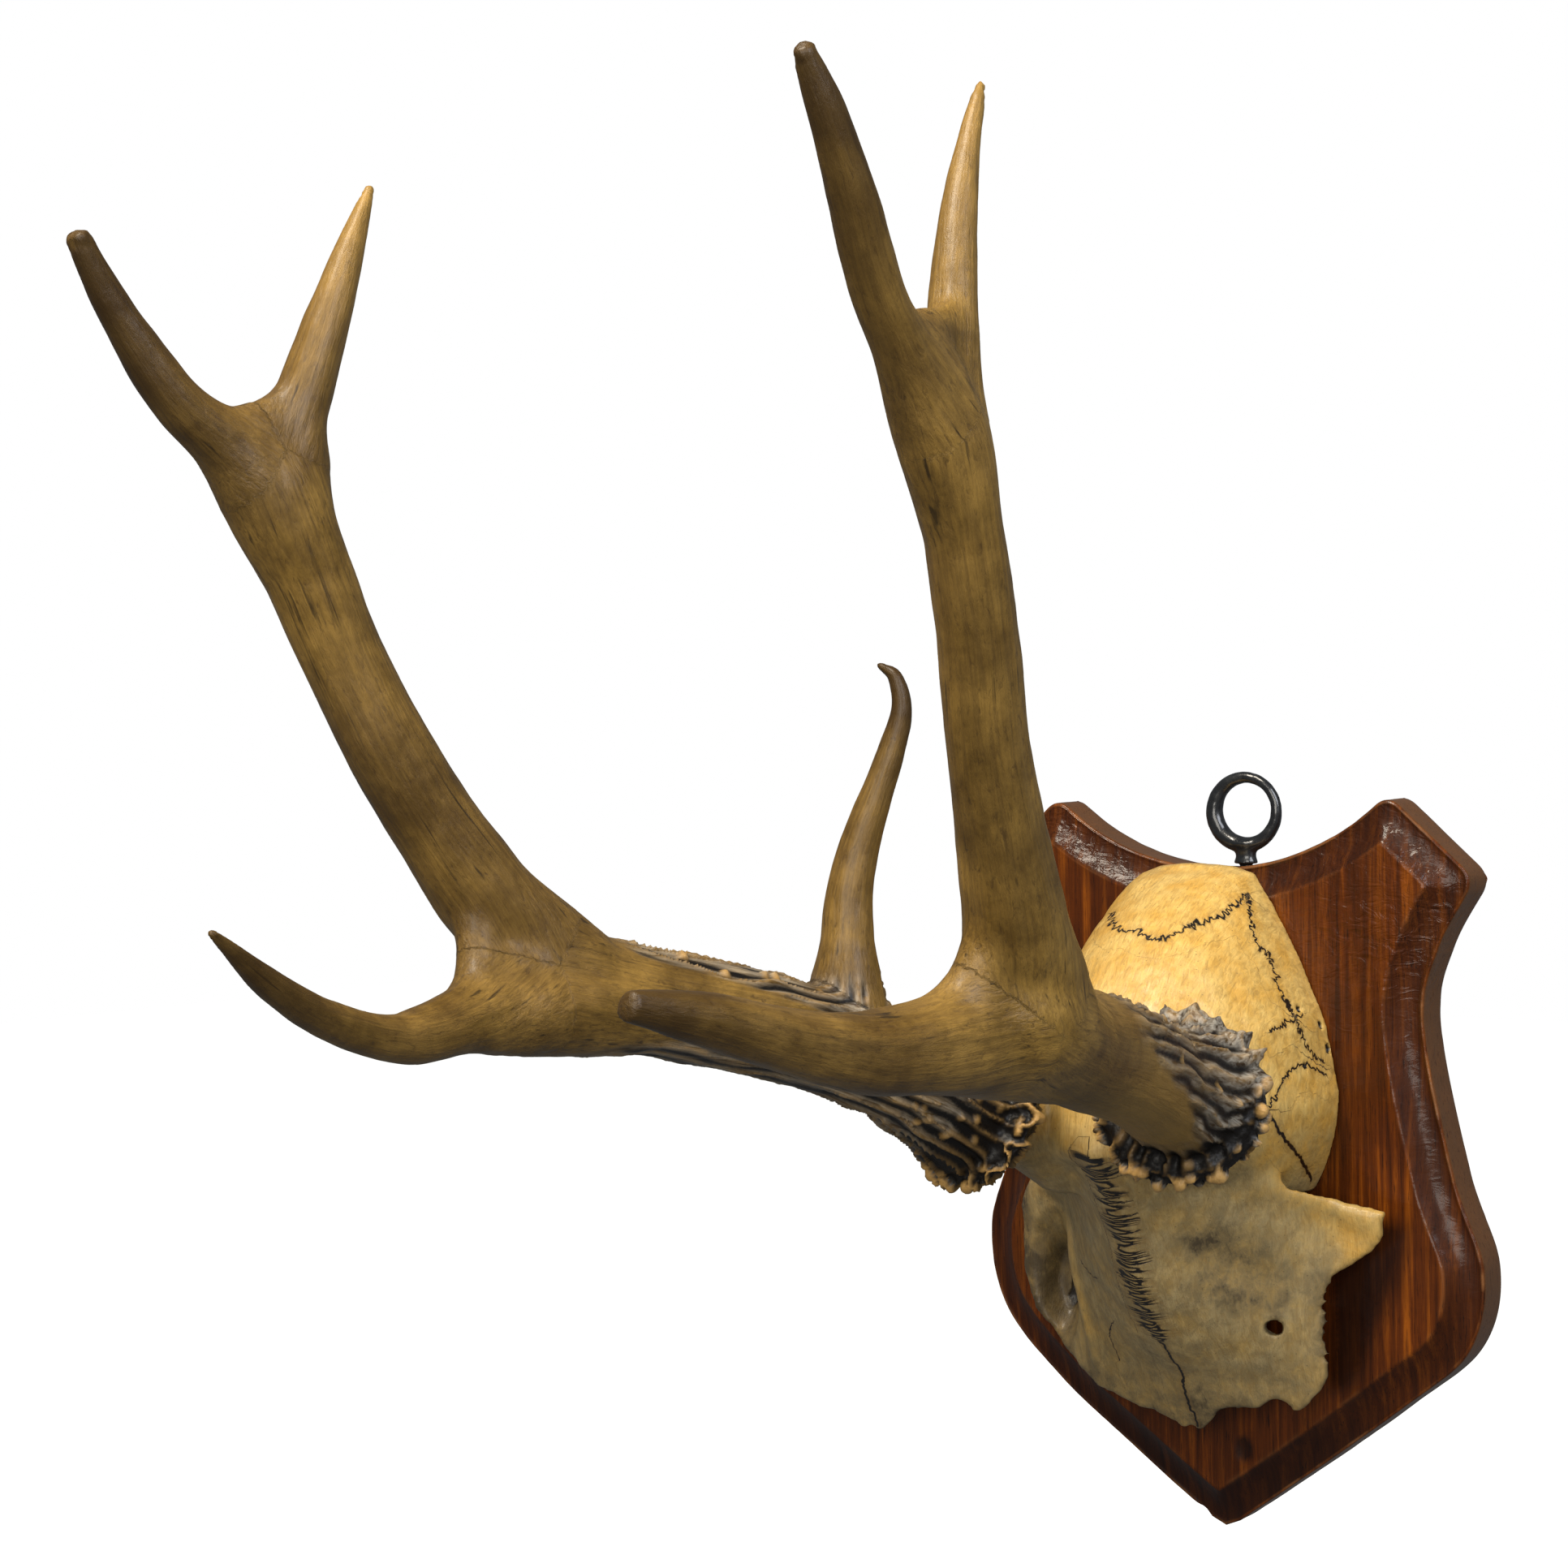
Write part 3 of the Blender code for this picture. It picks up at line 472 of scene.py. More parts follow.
@dataclass(frozen=True)
class AgedAntler:
    """Antler, bare and polished by handling: satin, streaked along the limb, dark in the furrows."""

    pale: str = "#A07D3A"
    olive: str = "#6A501E"
    brown: str = "#3A2812"
    furrow: str = "#0C0805"
    # Grey of the rough antler near the burr, lightened as painted sheen.
    rough_grey_and_sheen: str = "#A59E90"
    knob: str = "#BE9556"
    # Dark brown for the fore and front tines' ends, partly painted shade.
    tip_dark: str = "#342206"
    tip_pale: str = "#A5803F"
    streak_mm: tuple[float, float] = (1.2, 24.0)
    blotch_mm: float = 22.0

    def build(self) -> bpy.types.Material:
        """Build the material from the piece's own grain, dark, knob and tip attributes."""
        made, tree, shader = new_material("aged_antler", Roughness=0.46, Coat_Weight=0.12,
                                          Coat_Roughness=0.25,
                                          Specular_IOR_Level=0.3)
        place = add(tree, "ShaderNodeTexCoord").outputs["Object"]
        grain = add(tree, "ShaderNodeAttribute", {"attribute_name": "grain"}).outputs["Vector"]
        across, along = (1.0 / (size * MM) for size in self.streak_mm)
        streak = add(tree, "ShaderNodeTexNoise", {}, {
            "Vector": stretched(tree, grain, (across, across, along)), "Scale": 1.0, "Detail": 4.0,
            "Roughness": 0.6, "Distortion": 0.5})
        blotch = add(tree, "ShaderNodeTexNoise", {}, {
            "Vector": place, "Scale": 1.0 / (self.blotch_mm * MM), "Detail": 6.0, "Roughness": 0.66})
        fleck = add(tree, "ShaderNodeTexNoise", {}, {
            "Vector": stretched(tree, grain, (1.0 / (1.4 * MM), 1.0 / (1.4 * MM), 1.0 / (4.5 * MM))),
            "Scale": 1.0, "Detail": 4.0, "Roughness": 0.7, "Distortion": 0.8})
        crack = add(tree, "ShaderNodeTexNoise", {}, {
            "Vector": stretched(tree, grain, (1.0 / (2.6 * MM), 1.0 / (2.6 * MM), 1.0 / (46.0 * MM))),
            "Scale": 1.0, "Detail": 3.0, "Roughness": 0.5, "Distortion": 0.4})
        patch = add(tree, "ShaderNodeValToRGB", {"ramp": [(0.36, 0.0), (0.64, 1.0)]}, {0: blotch.outputs[0]})
        lines = add(tree, "ShaderNodeValToRGB", {"ramp": [(0.36, 0.0), (0.62, 1.0)]}, {0: streak.outputs[0]})
        spots = add(tree, "ShaderNodeMapRange", {}, {0: fleck.outputs[0], 1: 0.30, 2: 0.45, 3: 0.62, 4: 0.0})
        deep = add(tree, "ShaderNodeMapRange", {}, {0: crack.outputs[0], 1: 0.29, 2: 0.36, 3: 0.7, 4: 0.0})
        base = mixed(tree, patch.outputs[0], self.olive, self.pale)
        broad = add(tree, "ShaderNodeTexNoise", {},
                    {"Vector": place, "Scale": 1.0 / (55.0 * MM), "Detail": 3.0})
        worn = add(tree, "ShaderNodeMapRange", {}, {0: broad.outputs[0], 1: 0.42, 2: 0.62, 3: 0.45, 4: 0.0})
        base = mixed(tree, worn.outputs[0], base, self.brown)
        base = mixed(tree, lines.outputs[0], mixed(tree, 0.38, base, self.brown), base)
        base = mixed(tree, spots.outputs[0], base, self.brown)
        base = mixed(tree, deep.outputs[0], base, self.furrow)
        for name, tint in (("tip_dark", self.tip_dark), ("tip_pale", self.tip_pale)):
            share = add(tree, "ShaderNodeAttribute", {"attribute_name": name}).outputs["Fac"]
            base = mixed(tree, share, base, tint)
        # Rough parts streaked brown and grey; the grey stands partly for painted sheen.
        rough = add(tree, "ShaderNodeAttribute", {"attribute_name": "rough"}).outputs["Fac"]
        base = mixed(tree, rough, base, mixed(tree, lines.outputs[0], self.brown, self.rough_grey_and_sheen))
        # Near-black in the furrows, and as painted shade round and under the burr.
        dark = add(tree, "ShaderNodeAttribute", {"attribute_name": "dark"}).outputs["Fac"]
        base = mixed(tree, dark, base, self.furrow)
        knob = add(tree, "ShaderNodeAttribute", {"attribute_name": "knob"}).outputs["Fac"]
        base = mixed(tree, knob, base, self.knob)
        bump = add(tree, "ShaderNodeBump", {}, {"Strength": 0.7, "Distance": 0.5 * MM,
                                                "Height": streak.outputs[0]})
        fine = add(tree, "ShaderNodeBump", {}, {"Strength": 0.65, "Distance": 0.4 * MM,
                                                "Height": fleck.outputs[0], "Normal": bump.outputs[0]})
        gloss = add(tree, "ShaderNodeMapRange", {}, {0: blotch.outputs[0], 3: 0.34, 4: 0.55})
        tree.links.new(base, shader.inputs["Base Color"])
        tree.links.new(gloss.outputs[0], shader.inputs["Roughness"])
        tree.links.new(fine.outputs[0], shader.inputs["Normal"])
        return made


@dataclass(frozen=True)
class OldBone:
    """Skull bone, yellowed and lacquered: warm and glossy on the crown, greyer and drier below."""

    crown: str = "#D2A24A"
    crown_pale: str = "#E0BB6C"
    frontal: str = "#BA9A5A"
    frontal_pale: str = "#D6BC82"
    # Dark brown of dirt and specks, also painted as shade in the pit and on faces turned to the board.
    dirt: str = "#4A3D27"
    grime: str = "#6E6040"
    stain: str = "#7A5A28"
    # Painted shade of the left orbit pit.
    hollow: str = "#40331A"
    # Near-black of the seams, also painted into the holes as their shade.
    seam: str = "#171008"
    mottle_mm: float = 12.0
    wave_mm: float = 2.4

    def wander(self, tree: bpy.types.NodeTree, ahead: float) -> Any:
        """Give the distance across a seam to its wavering line, at a place a little ahead along it.

        Args:
            tree: The material's node tree.
            ahead: Distance ahead in millimetres.

        Returns:
            The output that holds the distance in millimetres.
        """
        seam = add(tree, "ShaderNodeAttribute", {"attribute_name": "seam"}).outputs["Vector"]
        moved = add(tree, "ShaderNodeVectorMath", {"operation": "ADD"},
                    {0: seam, 1: (ahead, 0.0, 0.0)}).outputs[0]
        parts = add(tree, "ShaderNodeSeparateXYZ", {}, {0: moved})
        wave = add(tree, "ShaderNodeTexNoise", {}, {
            "Vector": stretched(tree, moved, (1.0 / self.wave_mm, 0.4 / self.wave_mm, 0.0)), "Scale": 1.0,
            "Detail": 1.5, "Roughness": 0.5})
        uneven = add(tree, "ShaderNodeTexNoise", {}, {
            "Vector": stretched(tree, moved, (1.0 / 5.5, 0.03, 0.0)), "Scale": 1.0, "Detail": 0.0})
        loose = add(tree, "ShaderNodeMath", {"operation": "SUBTRACT"}, {0: uneven.outputs[0], 1: 0.5})
        centred = add(tree, "ShaderNodeMath", {"operation": "SUBTRACT"}, {0: wave.outputs[0], 1: 0.5})
        swayed = add(tree, "ShaderNodeMath", {"operation": "MULTIPLY_ADD"},
                     {0: centred.outputs[0], 1: parts.outputs[2], 2: parts.outputs[1]})
        shifted = add(tree, "ShaderNodeMath", {"operation": "MULTIPLY_ADD"},
                      {0: loose.outputs[0], 1: 5.0, 2: parts.outputs[0]})
        tooth = add(tree, "ShaderNodeMath", {"operation": "PINGPONG"}, {0: shifted.outputs[0], 1: 1.35})
        rounded = add(tree, "ShaderNodeMapRange", {"interpolation_type": "SMOOTHSTEP"},
                      {0: tooth.outputs[0], 1: 0.1, 2: 1.25, 3: -0.5, 4: 0.5})
        height = add(tree, "ShaderNodeAttribute", {"attribute_name": "seam_zigzag"}).outputs["Fac"]
        varied = add(tree, "ShaderNodeMapRange", {}, {0: wave.outputs[0], 1: 0.3, 2: 0.7, 3: 0.55, 4: 1.25})
        tall = add(tree, "ShaderNodeMath", {"operation": "MULTIPLY"}, {0: height, 1: varied.outputs[0]})
        return add(tree, "ShaderNodeMath", {"operation": "MULTIPLY_ADD"},
                   {0: rounded.outputs[0], 1: tall.outputs[0], 2: swayed.outputs[0]}).outputs[0]

    def build(self) -> bpy.types.Material:
        """Build the material from the piece's own crown, dirt, pit, hole and seam attributes; dirt, pit and
        hole also carry painted shade, and crown a painted highlight on the orbit's ridge.
        """
        made, tree, shader = new_material("old_lacquered_bone", Roughness=0.42, Coat_Weight=0.18,
                                          Coat_Roughness=0.22, Specular_IOR_Level=0.45)
        place = add(tree, "ShaderNodeTexCoord").outputs["Object"]
        mottle = add(tree, "ShaderNodeTexNoise", {}, {
            "Vector": place, "Scale": 1.0 / (self.mottle_mm * MM), "Detail": 7.0, "Roughness": 0.66})
        fibre = add(tree, "ShaderNodeTexNoise", {}, {
            "Vector": stretched(tree, place, (1.0 / (1.0 * MM), 1.0 / (5.0 * MM), 1.0 / (6.0 * MM))),
            "Scale": 1.0, "Detail": 5.0, "Roughness": 0.65, "Distortion": 1.0})
        pore = add(tree, "ShaderNodeTexVoronoi", {}, {"Vector": place, "Scale": 1.0 / (3.1 * MM)})
        soft = add(tree, "ShaderNodeValToRGB", {"ramp": [(0.38, 0.0), (0.62, 1.0)]}, {0: mottle.outputs[0]})
        # The crown attribute gives the crown's warmer colour, and along the left orbit's ridge a painted
        # highlight.
        crown = add(tree, "ShaderNodeAttribute", {"attribute_name": "crown"}).outputs["Fac"]
        upper = mixed(tree, soft.outputs[0], self.crown, self.crown_pale)
        lower = mixed(tree, soft.outputs[0], self.frontal, self.frontal_pale)
        base = mixed(tree, crown, lower, upper)
        cloud = add(tree, "ShaderNodeTexNoise", {}, {
            "Vector": stretched(tree, place, (1.0 / (5.0 * MM), 1.0 / (5.0 * MM), 1.0 / (9.0 * MM))),
            "Scale": 1.0, "Detail": 5.0, "Roughness": 0.7, "Distortion": 0.6})
        grime = add(tree, "ShaderNodeMapRange", {}, {0: cloud.outputs[0], 1: 0.42, 2: 0.62, 3: 0.5, 4: 0.0})
        drier = add(tree, "ShaderNodeMapRange", {}, {0: crown, 3: 1.0, 4: 0.15})
        darkening = add(tree, "ShaderNodeMath", {"operation": "MULTIPLY"},
                   {0: grime.outputs[0], 1: drier.outputs[0]})
        base = mixed(tree, darkening.outputs[0], base, self.grime)
        thread = add(tree, "ShaderNodeMapRange", {}, {0: fibre.outputs[0], 1: 0.32, 2: 0.58, 3: 0.5, 4: 0.0})
        base = mixed(tree, thread.outputs[0], base, self.stain)
        # Dirt and painted shade from one attribute: shade in the orbit pit and on faces turned to the board,
        # dirt elsewhere, broken up by the mottle and fibre.
        dirt = add(tree, "ShaderNodeAttribute", {"attribute_name": "dirt"}).outputs["Fac"]
        spread = add(tree, "ShaderNodeMath", {"operation": "MULTIPLY_ADD"},
                     {0: mottle.outputs[0], 1: 5.0, 2: -2.5})
        grown = add(tree, "ShaderNodeMath", {"operation": "MULTIPLY_ADD"},
                    {0: fibre.outputs[0], 1: 1.8, 2: -0.9})
        both = add(tree, "ShaderNodeMath", {"operation": "ADD"}, {0: spread.outputs[0], 1: grown.outputs[0]})
        soiled = add(tree, "ShaderNodeMath", {"operation": "MULTIPLY_ADD", "use_clamp": True},
                     {0: both.outputs[0], 1: dirt, 2: dirt})
        base = mixed(tree, soiled.outputs[0], base, self.dirt)
        # Painted shade: the left orbit pit darkened towards the hollow colour, patchy along the fibre.
        pit_shade = add(tree, "ShaderNodeAttribute", {"attribute_name": "pit"}).outputs["Fac"]
        shade = add(tree, "ShaderNodeMapRange", {}, {0: fibre.outputs[0], 1: 0.3, 2: 0.7, 3: 0.95, 4: 0.45})
        inside = add(tree, "ShaderNodeMath", {"operation": "MULTIPLY"}, {0: pit_shade, 1: shade.outputs[0]})
        base = mixed(tree, inside.outputs[0], base, self.hollow)
        speck = add(tree, "ShaderNodeMapRange", {},
                    {0: pore.outputs["Distance"], 1: 0.05, 2: 0.12, 3: 0.5, 4: 0.0})
        base = mixed(tree, speck.outputs[0], base, self.dirt)
        here, beside = self.wander(tree, 0.0), self.wander(tree, 0.12)
        slope = add(tree, "ShaderNodeMath", {"operation": "SUBTRACT"}, {0: beside, 1: here})
        steep = add(tree, "ShaderNodeMath", {"operation": "MULTIPLY"}, {0: slope.outputs[0], 1: 1.0 / 0.12})
        square = add(tree, "ShaderNodeMath", {"operation": "MULTIPLY_ADD"},
                     {0: steep.outputs[0], 1: steep.outputs[0], 2: 1.0})
        length = add(tree, "ShaderNodeMath", {"operation": "SQRT"}, {0: square.outputs[0]})
        off = add(tree, "ShaderNodeMath", {"operation": "ABSOLUTE"}, {0: here})
        half = add(tree, "ShaderNodeAttribute", {"attribute_name": "seam_half"}).outputs["Fac"]
        widened = add(tree, "ShaderNodeMath", {"operation": "MULTIPLY"}, {0: length.outputs[0], 1: half})
        ratio = add(tree, "ShaderNodeMath", {"operation": "DIVIDE"},
                    {0: off.outputs[0], 1: widened.outputs[0]})
        line = add(tree, "ShaderNodeMapRange", {}, {0: ratio.outputs[0], 1: 0.7, 2: 1.35, 3: 1.0, 4: 0.0})
        # Painted shade: the holes' insides drawn near-black in the seam colour.
        hole = add(tree, "ShaderNodeAttribute", {"attribute_name": "hole"}).outputs["Fac"]
        pit = add(tree, "ShaderNodeMapRange", {}, {0: hole, 1: 0.85, 2: 1.1, 3: 1.0, 4: 0.0})
        cut = add(tree, "ShaderNodeMath", {"operation": "MAXIMUM"}, {0: line.outputs[0], 1: pit.outputs[0]})
        stained = add(tree, "ShaderNodeMapRange", {}, {0: ratio.outputs[0], 1: 1.0, 2: 5.0, 3: 0.35, 4: 0.0})
        base = mixed(tree, stained.outputs[0], base, self.stain)
        base = mixed(tree, cut.outputs[0], base, self.seam)
        groove = add(tree, "ShaderNodeMath", {"operation": "SUBTRACT"}, {0: 1.0, 1: cut.outputs[0]})
        bump = add(tree, "ShaderNodeBump", {}, {"Strength": 0.6, "Distance": 0.45 * MM,
                                                "Height": fibre.outputs[0]})
        deep = add(tree, "ShaderNodeBump", {}, {"Strength": 0.5, "Distance": 1.2 * MM,
                                                "Height": mottle.outputs[0], "Normal": bump.outputs[0]})
        sunk = add(tree, "ShaderNodeBump", {}, {"Strength": 0.7, "Distance": 0.5 * MM,
                                                "Height": groove.outputs[0], "Normal": deep.outputs[0]})
        gloss = add(tree, "ShaderNodeMapRange", {}, {0: crown, 3: 0.55, 4: 0.34})
        tree.links.new(base, shader.inputs["Base Color"])
        tree.links.new(gloss.outputs[0], shader.inputs["Roughness"])
        tree.links.new(sunk.outputs[0], shader.inputs["Normal"])
        return made


@dataclass(frozen=True)
class VarnishedWood:
    """Hardwood stained red-brown and varnished by brush: upright grain under an uneven glossy coat."""

    light: str = "#96500C"
    middle: str = "#5C2A04"
    dark: str = "#2C1102"
    pore: str = "#120502"
    # Pale tan of the rubbed arris, also used for the painted highlight line along the lip.
    worn: str = "#8E6038"
    edge: str = "#5E4026"
    grain_mm: tuple[float, float] = (2.6, 70.0)

    def build(self) -> bpy.types.Material:
        """Build the material from Object coordinates and the shade, edge and worn attributes, which also
        carry a painted shadow and a painted highlight line.
        """
        made, tree, shader = new_material("brush_varnished_hardwood", Roughness=0.45, Coat_Weight=0.3,
                                          Coat_Roughness=0.14, Specular_IOR_Level=0.12)
        place = add(tree, "ShaderNodeTexCoord").outputs["Object"]
        across, along = (1.0 / (size * MM) for size in self.grain_mm)
        grain = add(tree, "ShaderNodeTexNoise", {}, {
            "Vector": stretched(tree, place, (across, across * 0.4, along)), "Scale": 1.0, "Detail": 6.0,
            "Roughness": 0.66, "Distortion": 0.5})
        band = add(tree, "ShaderNodeTexNoise", {}, {
            "Vector": stretched(tree, place, (1.0 / (11.0 * MM), 1.0 / (30.0 * MM), 1.0 / (120.0 * MM))),
            "Scale": 1.0, "Detail": 3.0, "Roughness": 0.5})
        pores = add(tree, "ShaderNodeTexNoise", {}, {
            "Vector": stretched(tree, place, (1.0 / (0.5 * MM), 1.0 / (0.5 * MM), 1.0 / (9.0 * MM))),
            "Scale": 1.0, "Detail": 2.0, "Roughness": 0.5})
        cloud = add(tree, "ShaderNodeTexNoise", {}, {
            "Vector": place, "Scale": 1.0 / (32.0 * MM), "Detail": 4.0, "Roughness": 0.6})
        tone = add(tree, "ShaderNodeValToRGB", {"ramp": [(0.30, self.dark), (0.50, self.middle),
                                                         (0.74, self.light)]}, {0: grain.outputs[0]})
        wide = add(tree, "ShaderNodeMapRange", {}, {0: band.outputs[0], 1: 0.35, 2: 0.65, 3: 0.55, 4: 0.0})
        base = mixed(tree, wide.outputs[0], tone.outputs[0], self.dark)
        lines = add(tree, "ShaderNodeMapRange", {}, {0: pores.outputs[0], 1: 0.60, 2: 0.70, 3: 0.0, 4: 0.75})
        base = mixed(tree, lines.outputs[0], base, self.pore)
        # Darkened towards the pore colour: painted shadow behind the plate, the darker border and the dark
        # dab.
        shade = add(tree, "ShaderNodeAttribute", {"attribute_name": "shade"}).outputs["Fac"]
        base = mixed(tree, shade, base, mixed(tree, 0.15, self.pore, base))
        murk = add(tree, "ShaderNodeMapRange", {}, {0: cloud.outputs[0], 1: 0.45, 2: 0.75, 3: 0.0, 4: 0.5})
        base = mixed(tree, murk.outputs[0], base, self.dark)
        edge = add(tree, "ShaderNodeAttribute", {"attribute_name": "edge"}).outputs["Fac"]
        base = mixed(tree, edge, base, mixed(tree, lines.outputs[0], self.edge, self.dark))
        # Worn colour: rubbed varnish on the outer arris and a painted highlight line along the lip.
        worn = add(tree, "ShaderNodeAttribute", {"attribute_name": "worn"}).outputs["Fac"]
        base = mixed(tree, worn, base, self.worn)
        wrinkle = add(tree, "ShaderNodeTexNoise", {}, {
            "Vector": stretched(tree, place, (1.0 / (7.0 * MM), 1.0 / (7.0 * MM), 1.0 / (4.0 * MM))),
            "Scale": 1.0, "Detail": 3.0, "Roughness": 0.55, "Distortion": 1.2})
        gloss = add(tree, "ShaderNodeAttribute", {"attribute_name": "wrinkle"}).outputs["Fac"]
        drawn = add(tree, "ShaderNodeMath", {"operation": "MULTIPLY"}, {0: gloss, 1: wrinkle.outputs[0]})
        bump = add(tree, "ShaderNodeBump", {}, {"Strength": 0.3, "Distance": 0.2 * MM,
                                                "Height": grain.outputs[0]})
        skin = add(tree, "ShaderNodeBump", {}, {"Strength": 0.8, "Distance": 1.1 * MM,
                                                "Height": drawn.outputs[0], "Normal": bump.outputs[0]})
        tree.links.new(base, shader.inputs["Base Color"])
        tree.links.new(skin.outputs[0], shader.inputs["Normal"])
        tree.links.new(skin.outputs[0], shader.inputs["Coat Normal"])
        return made


@dataclass(frozen=True)
class BlackEnamelledIron:
    """Cast iron under thick black enamel: near-black, glossy, a little uneven."""

    black: str = "#15171A"
    thin: str = "#2B2D2E"

    def build(self) -> bpy.types.Material:
        """Build the material with lumps of 3 mm and brighter thin spots."""
        made, tree, shader = new_material("black_enamelled_iron", Roughness=0.28, Coat_Weight=0.5,
                                          Coat_Roughness=0.1, Specular_IOR_Level=0.5)
        place = add(tree, "ShaderNodeTexCoord").outputs["Object"]
        lump = add(tree, "ShaderNodeTexNoise", {}, {"Vector": place, "Scale": 1.0 / (3.0 * MM),
                                                    "Detail": 4.0, "Roughness": 0.55})
        share = add(tree, "ShaderNodeMapRange", {}, {0: lump.outputs[0], 1: 0.5, 2: 0.75, 3: 0.0, 4: 0.8})
        base = mixed(tree, share.outputs[0], self.black, self.thin)
        bump = add(tree, "ShaderNodeBump", {}, {"Strength": 0.4, "Distance": 0.35 * MM,
                                                "Height": lump.outputs[0]})
        tree.links.new(base, shader.inputs["Base Color"])
        tree.links.new(bump.outputs[0], shader.inputs["Normal"])
        return made


@dataclass(frozen=True)
class MattPaper:
    """Studio paper: white and fully matt."""

    white: str = "#F4F3F0"

    def build(self) -> bpy.types.Material:
        """Build the plain material of the floor."""
        made, _, shader = new_material("matt_studio_paper", Roughness=0.9, Specular_IOR_Level=0.2,
                                       Emission_Strength=1.0)
        shader.inputs["Base Color"].default_value = colour(self.white)
        shader.inputs["Emission Color"].default_value = colour(self.white)
        return made


# Bone

BOARD_FACE = -21.5 * MM
FOOT_Y = -21.8 * MM


@dataclass
class Limb:
    """A round limb of antler: where its middle runs, how thick it is and how it ends."""

    path: Array
    radii: Array
    tip: Tip = Tip.ROUND
    start: float = 0.0
    ends_free: bool = False

    def samples(self, steps: int = 14) -> tuple[Array, Array, Array]:
        """Sample the limb.

        Args:
            steps: Samples between two stations.

        Returns:
            Places, radii and the length run from the burr.
        """
        line = spline(np.column_stack([self.path, self.radii]), steps)
        return line[:, :3], np.maximum(line[:, 3], 0.6 * MM), self.start + run_length(line[:, :3])

    def axes(self, places: Array) -> tuple[Array, Array, Array]:
        """Give the limb's direction and two directions across it, the first towards +X."""
        ahead = unit(np.gradient(places, axis=0))
        side = np.array([1.0, 0.0, 0.0]) - ahead[:, :1] * ahead
        side = unit(side)
        return ahead, side, np.cross(ahead, side)

    def shell(self, sides: int = 36) -> Shell:
        """Carry a nearly round profile along the limb: centre + r (1 + lumps) (side cos a + up sin a).

        Each end is closed by rings that shrink as a quarter ellipse.

        Args:
            sides: Points round the limb.

        Returns:
            A closed shell.
        """
        places, radii, _ = self.samples()
        ahead, side, up = self.axes(places)
        turn = np.linspace(0.0, math.pi / 2.0, 7)[1:]
        for_end = self.tip.value * radii[-1] * np.sin(turn)
        for_root = 0.5 * radii[0] * np.sin(turn)
        places = np.vstack([(places[0] - ahead[0] * for_root[:, None])[::-1], places,
                            places[-1] + ahead[-1] * for_end[:, None]])
        shrink = np.maximum(np.cos(turn), 0.03)
        radii = np.concatenate([(radii[0] * shrink)[::-1], radii, radii[-1] * shrink])
        side = np.vstack([np.repeat(side[:1], 6, 0), side, np.repeat(side[-1:], 6, 0)])
        up = np.vstack([np.repeat(up[:1], 6, 0), up, np.repeat(up[-1:], 6, 0)])
        angle = np.linspace(0.0, 2.0 * math.pi, sides, endpoint=False)
        lumps = 1.0 + 0.025 * np.sin(2.0 * angle[None, :] + 60.0 * places[:, 1:2])
        reach = (radii[:, None] * lumps)[..., None]
        rings = places[:, None, :] + reach * (side[:, None, :] * np.cos(angle)[None, :, None]
                                              + up[:, None, :] * np.sin(angle)[None, :, None])
        return closed_rings(rings)


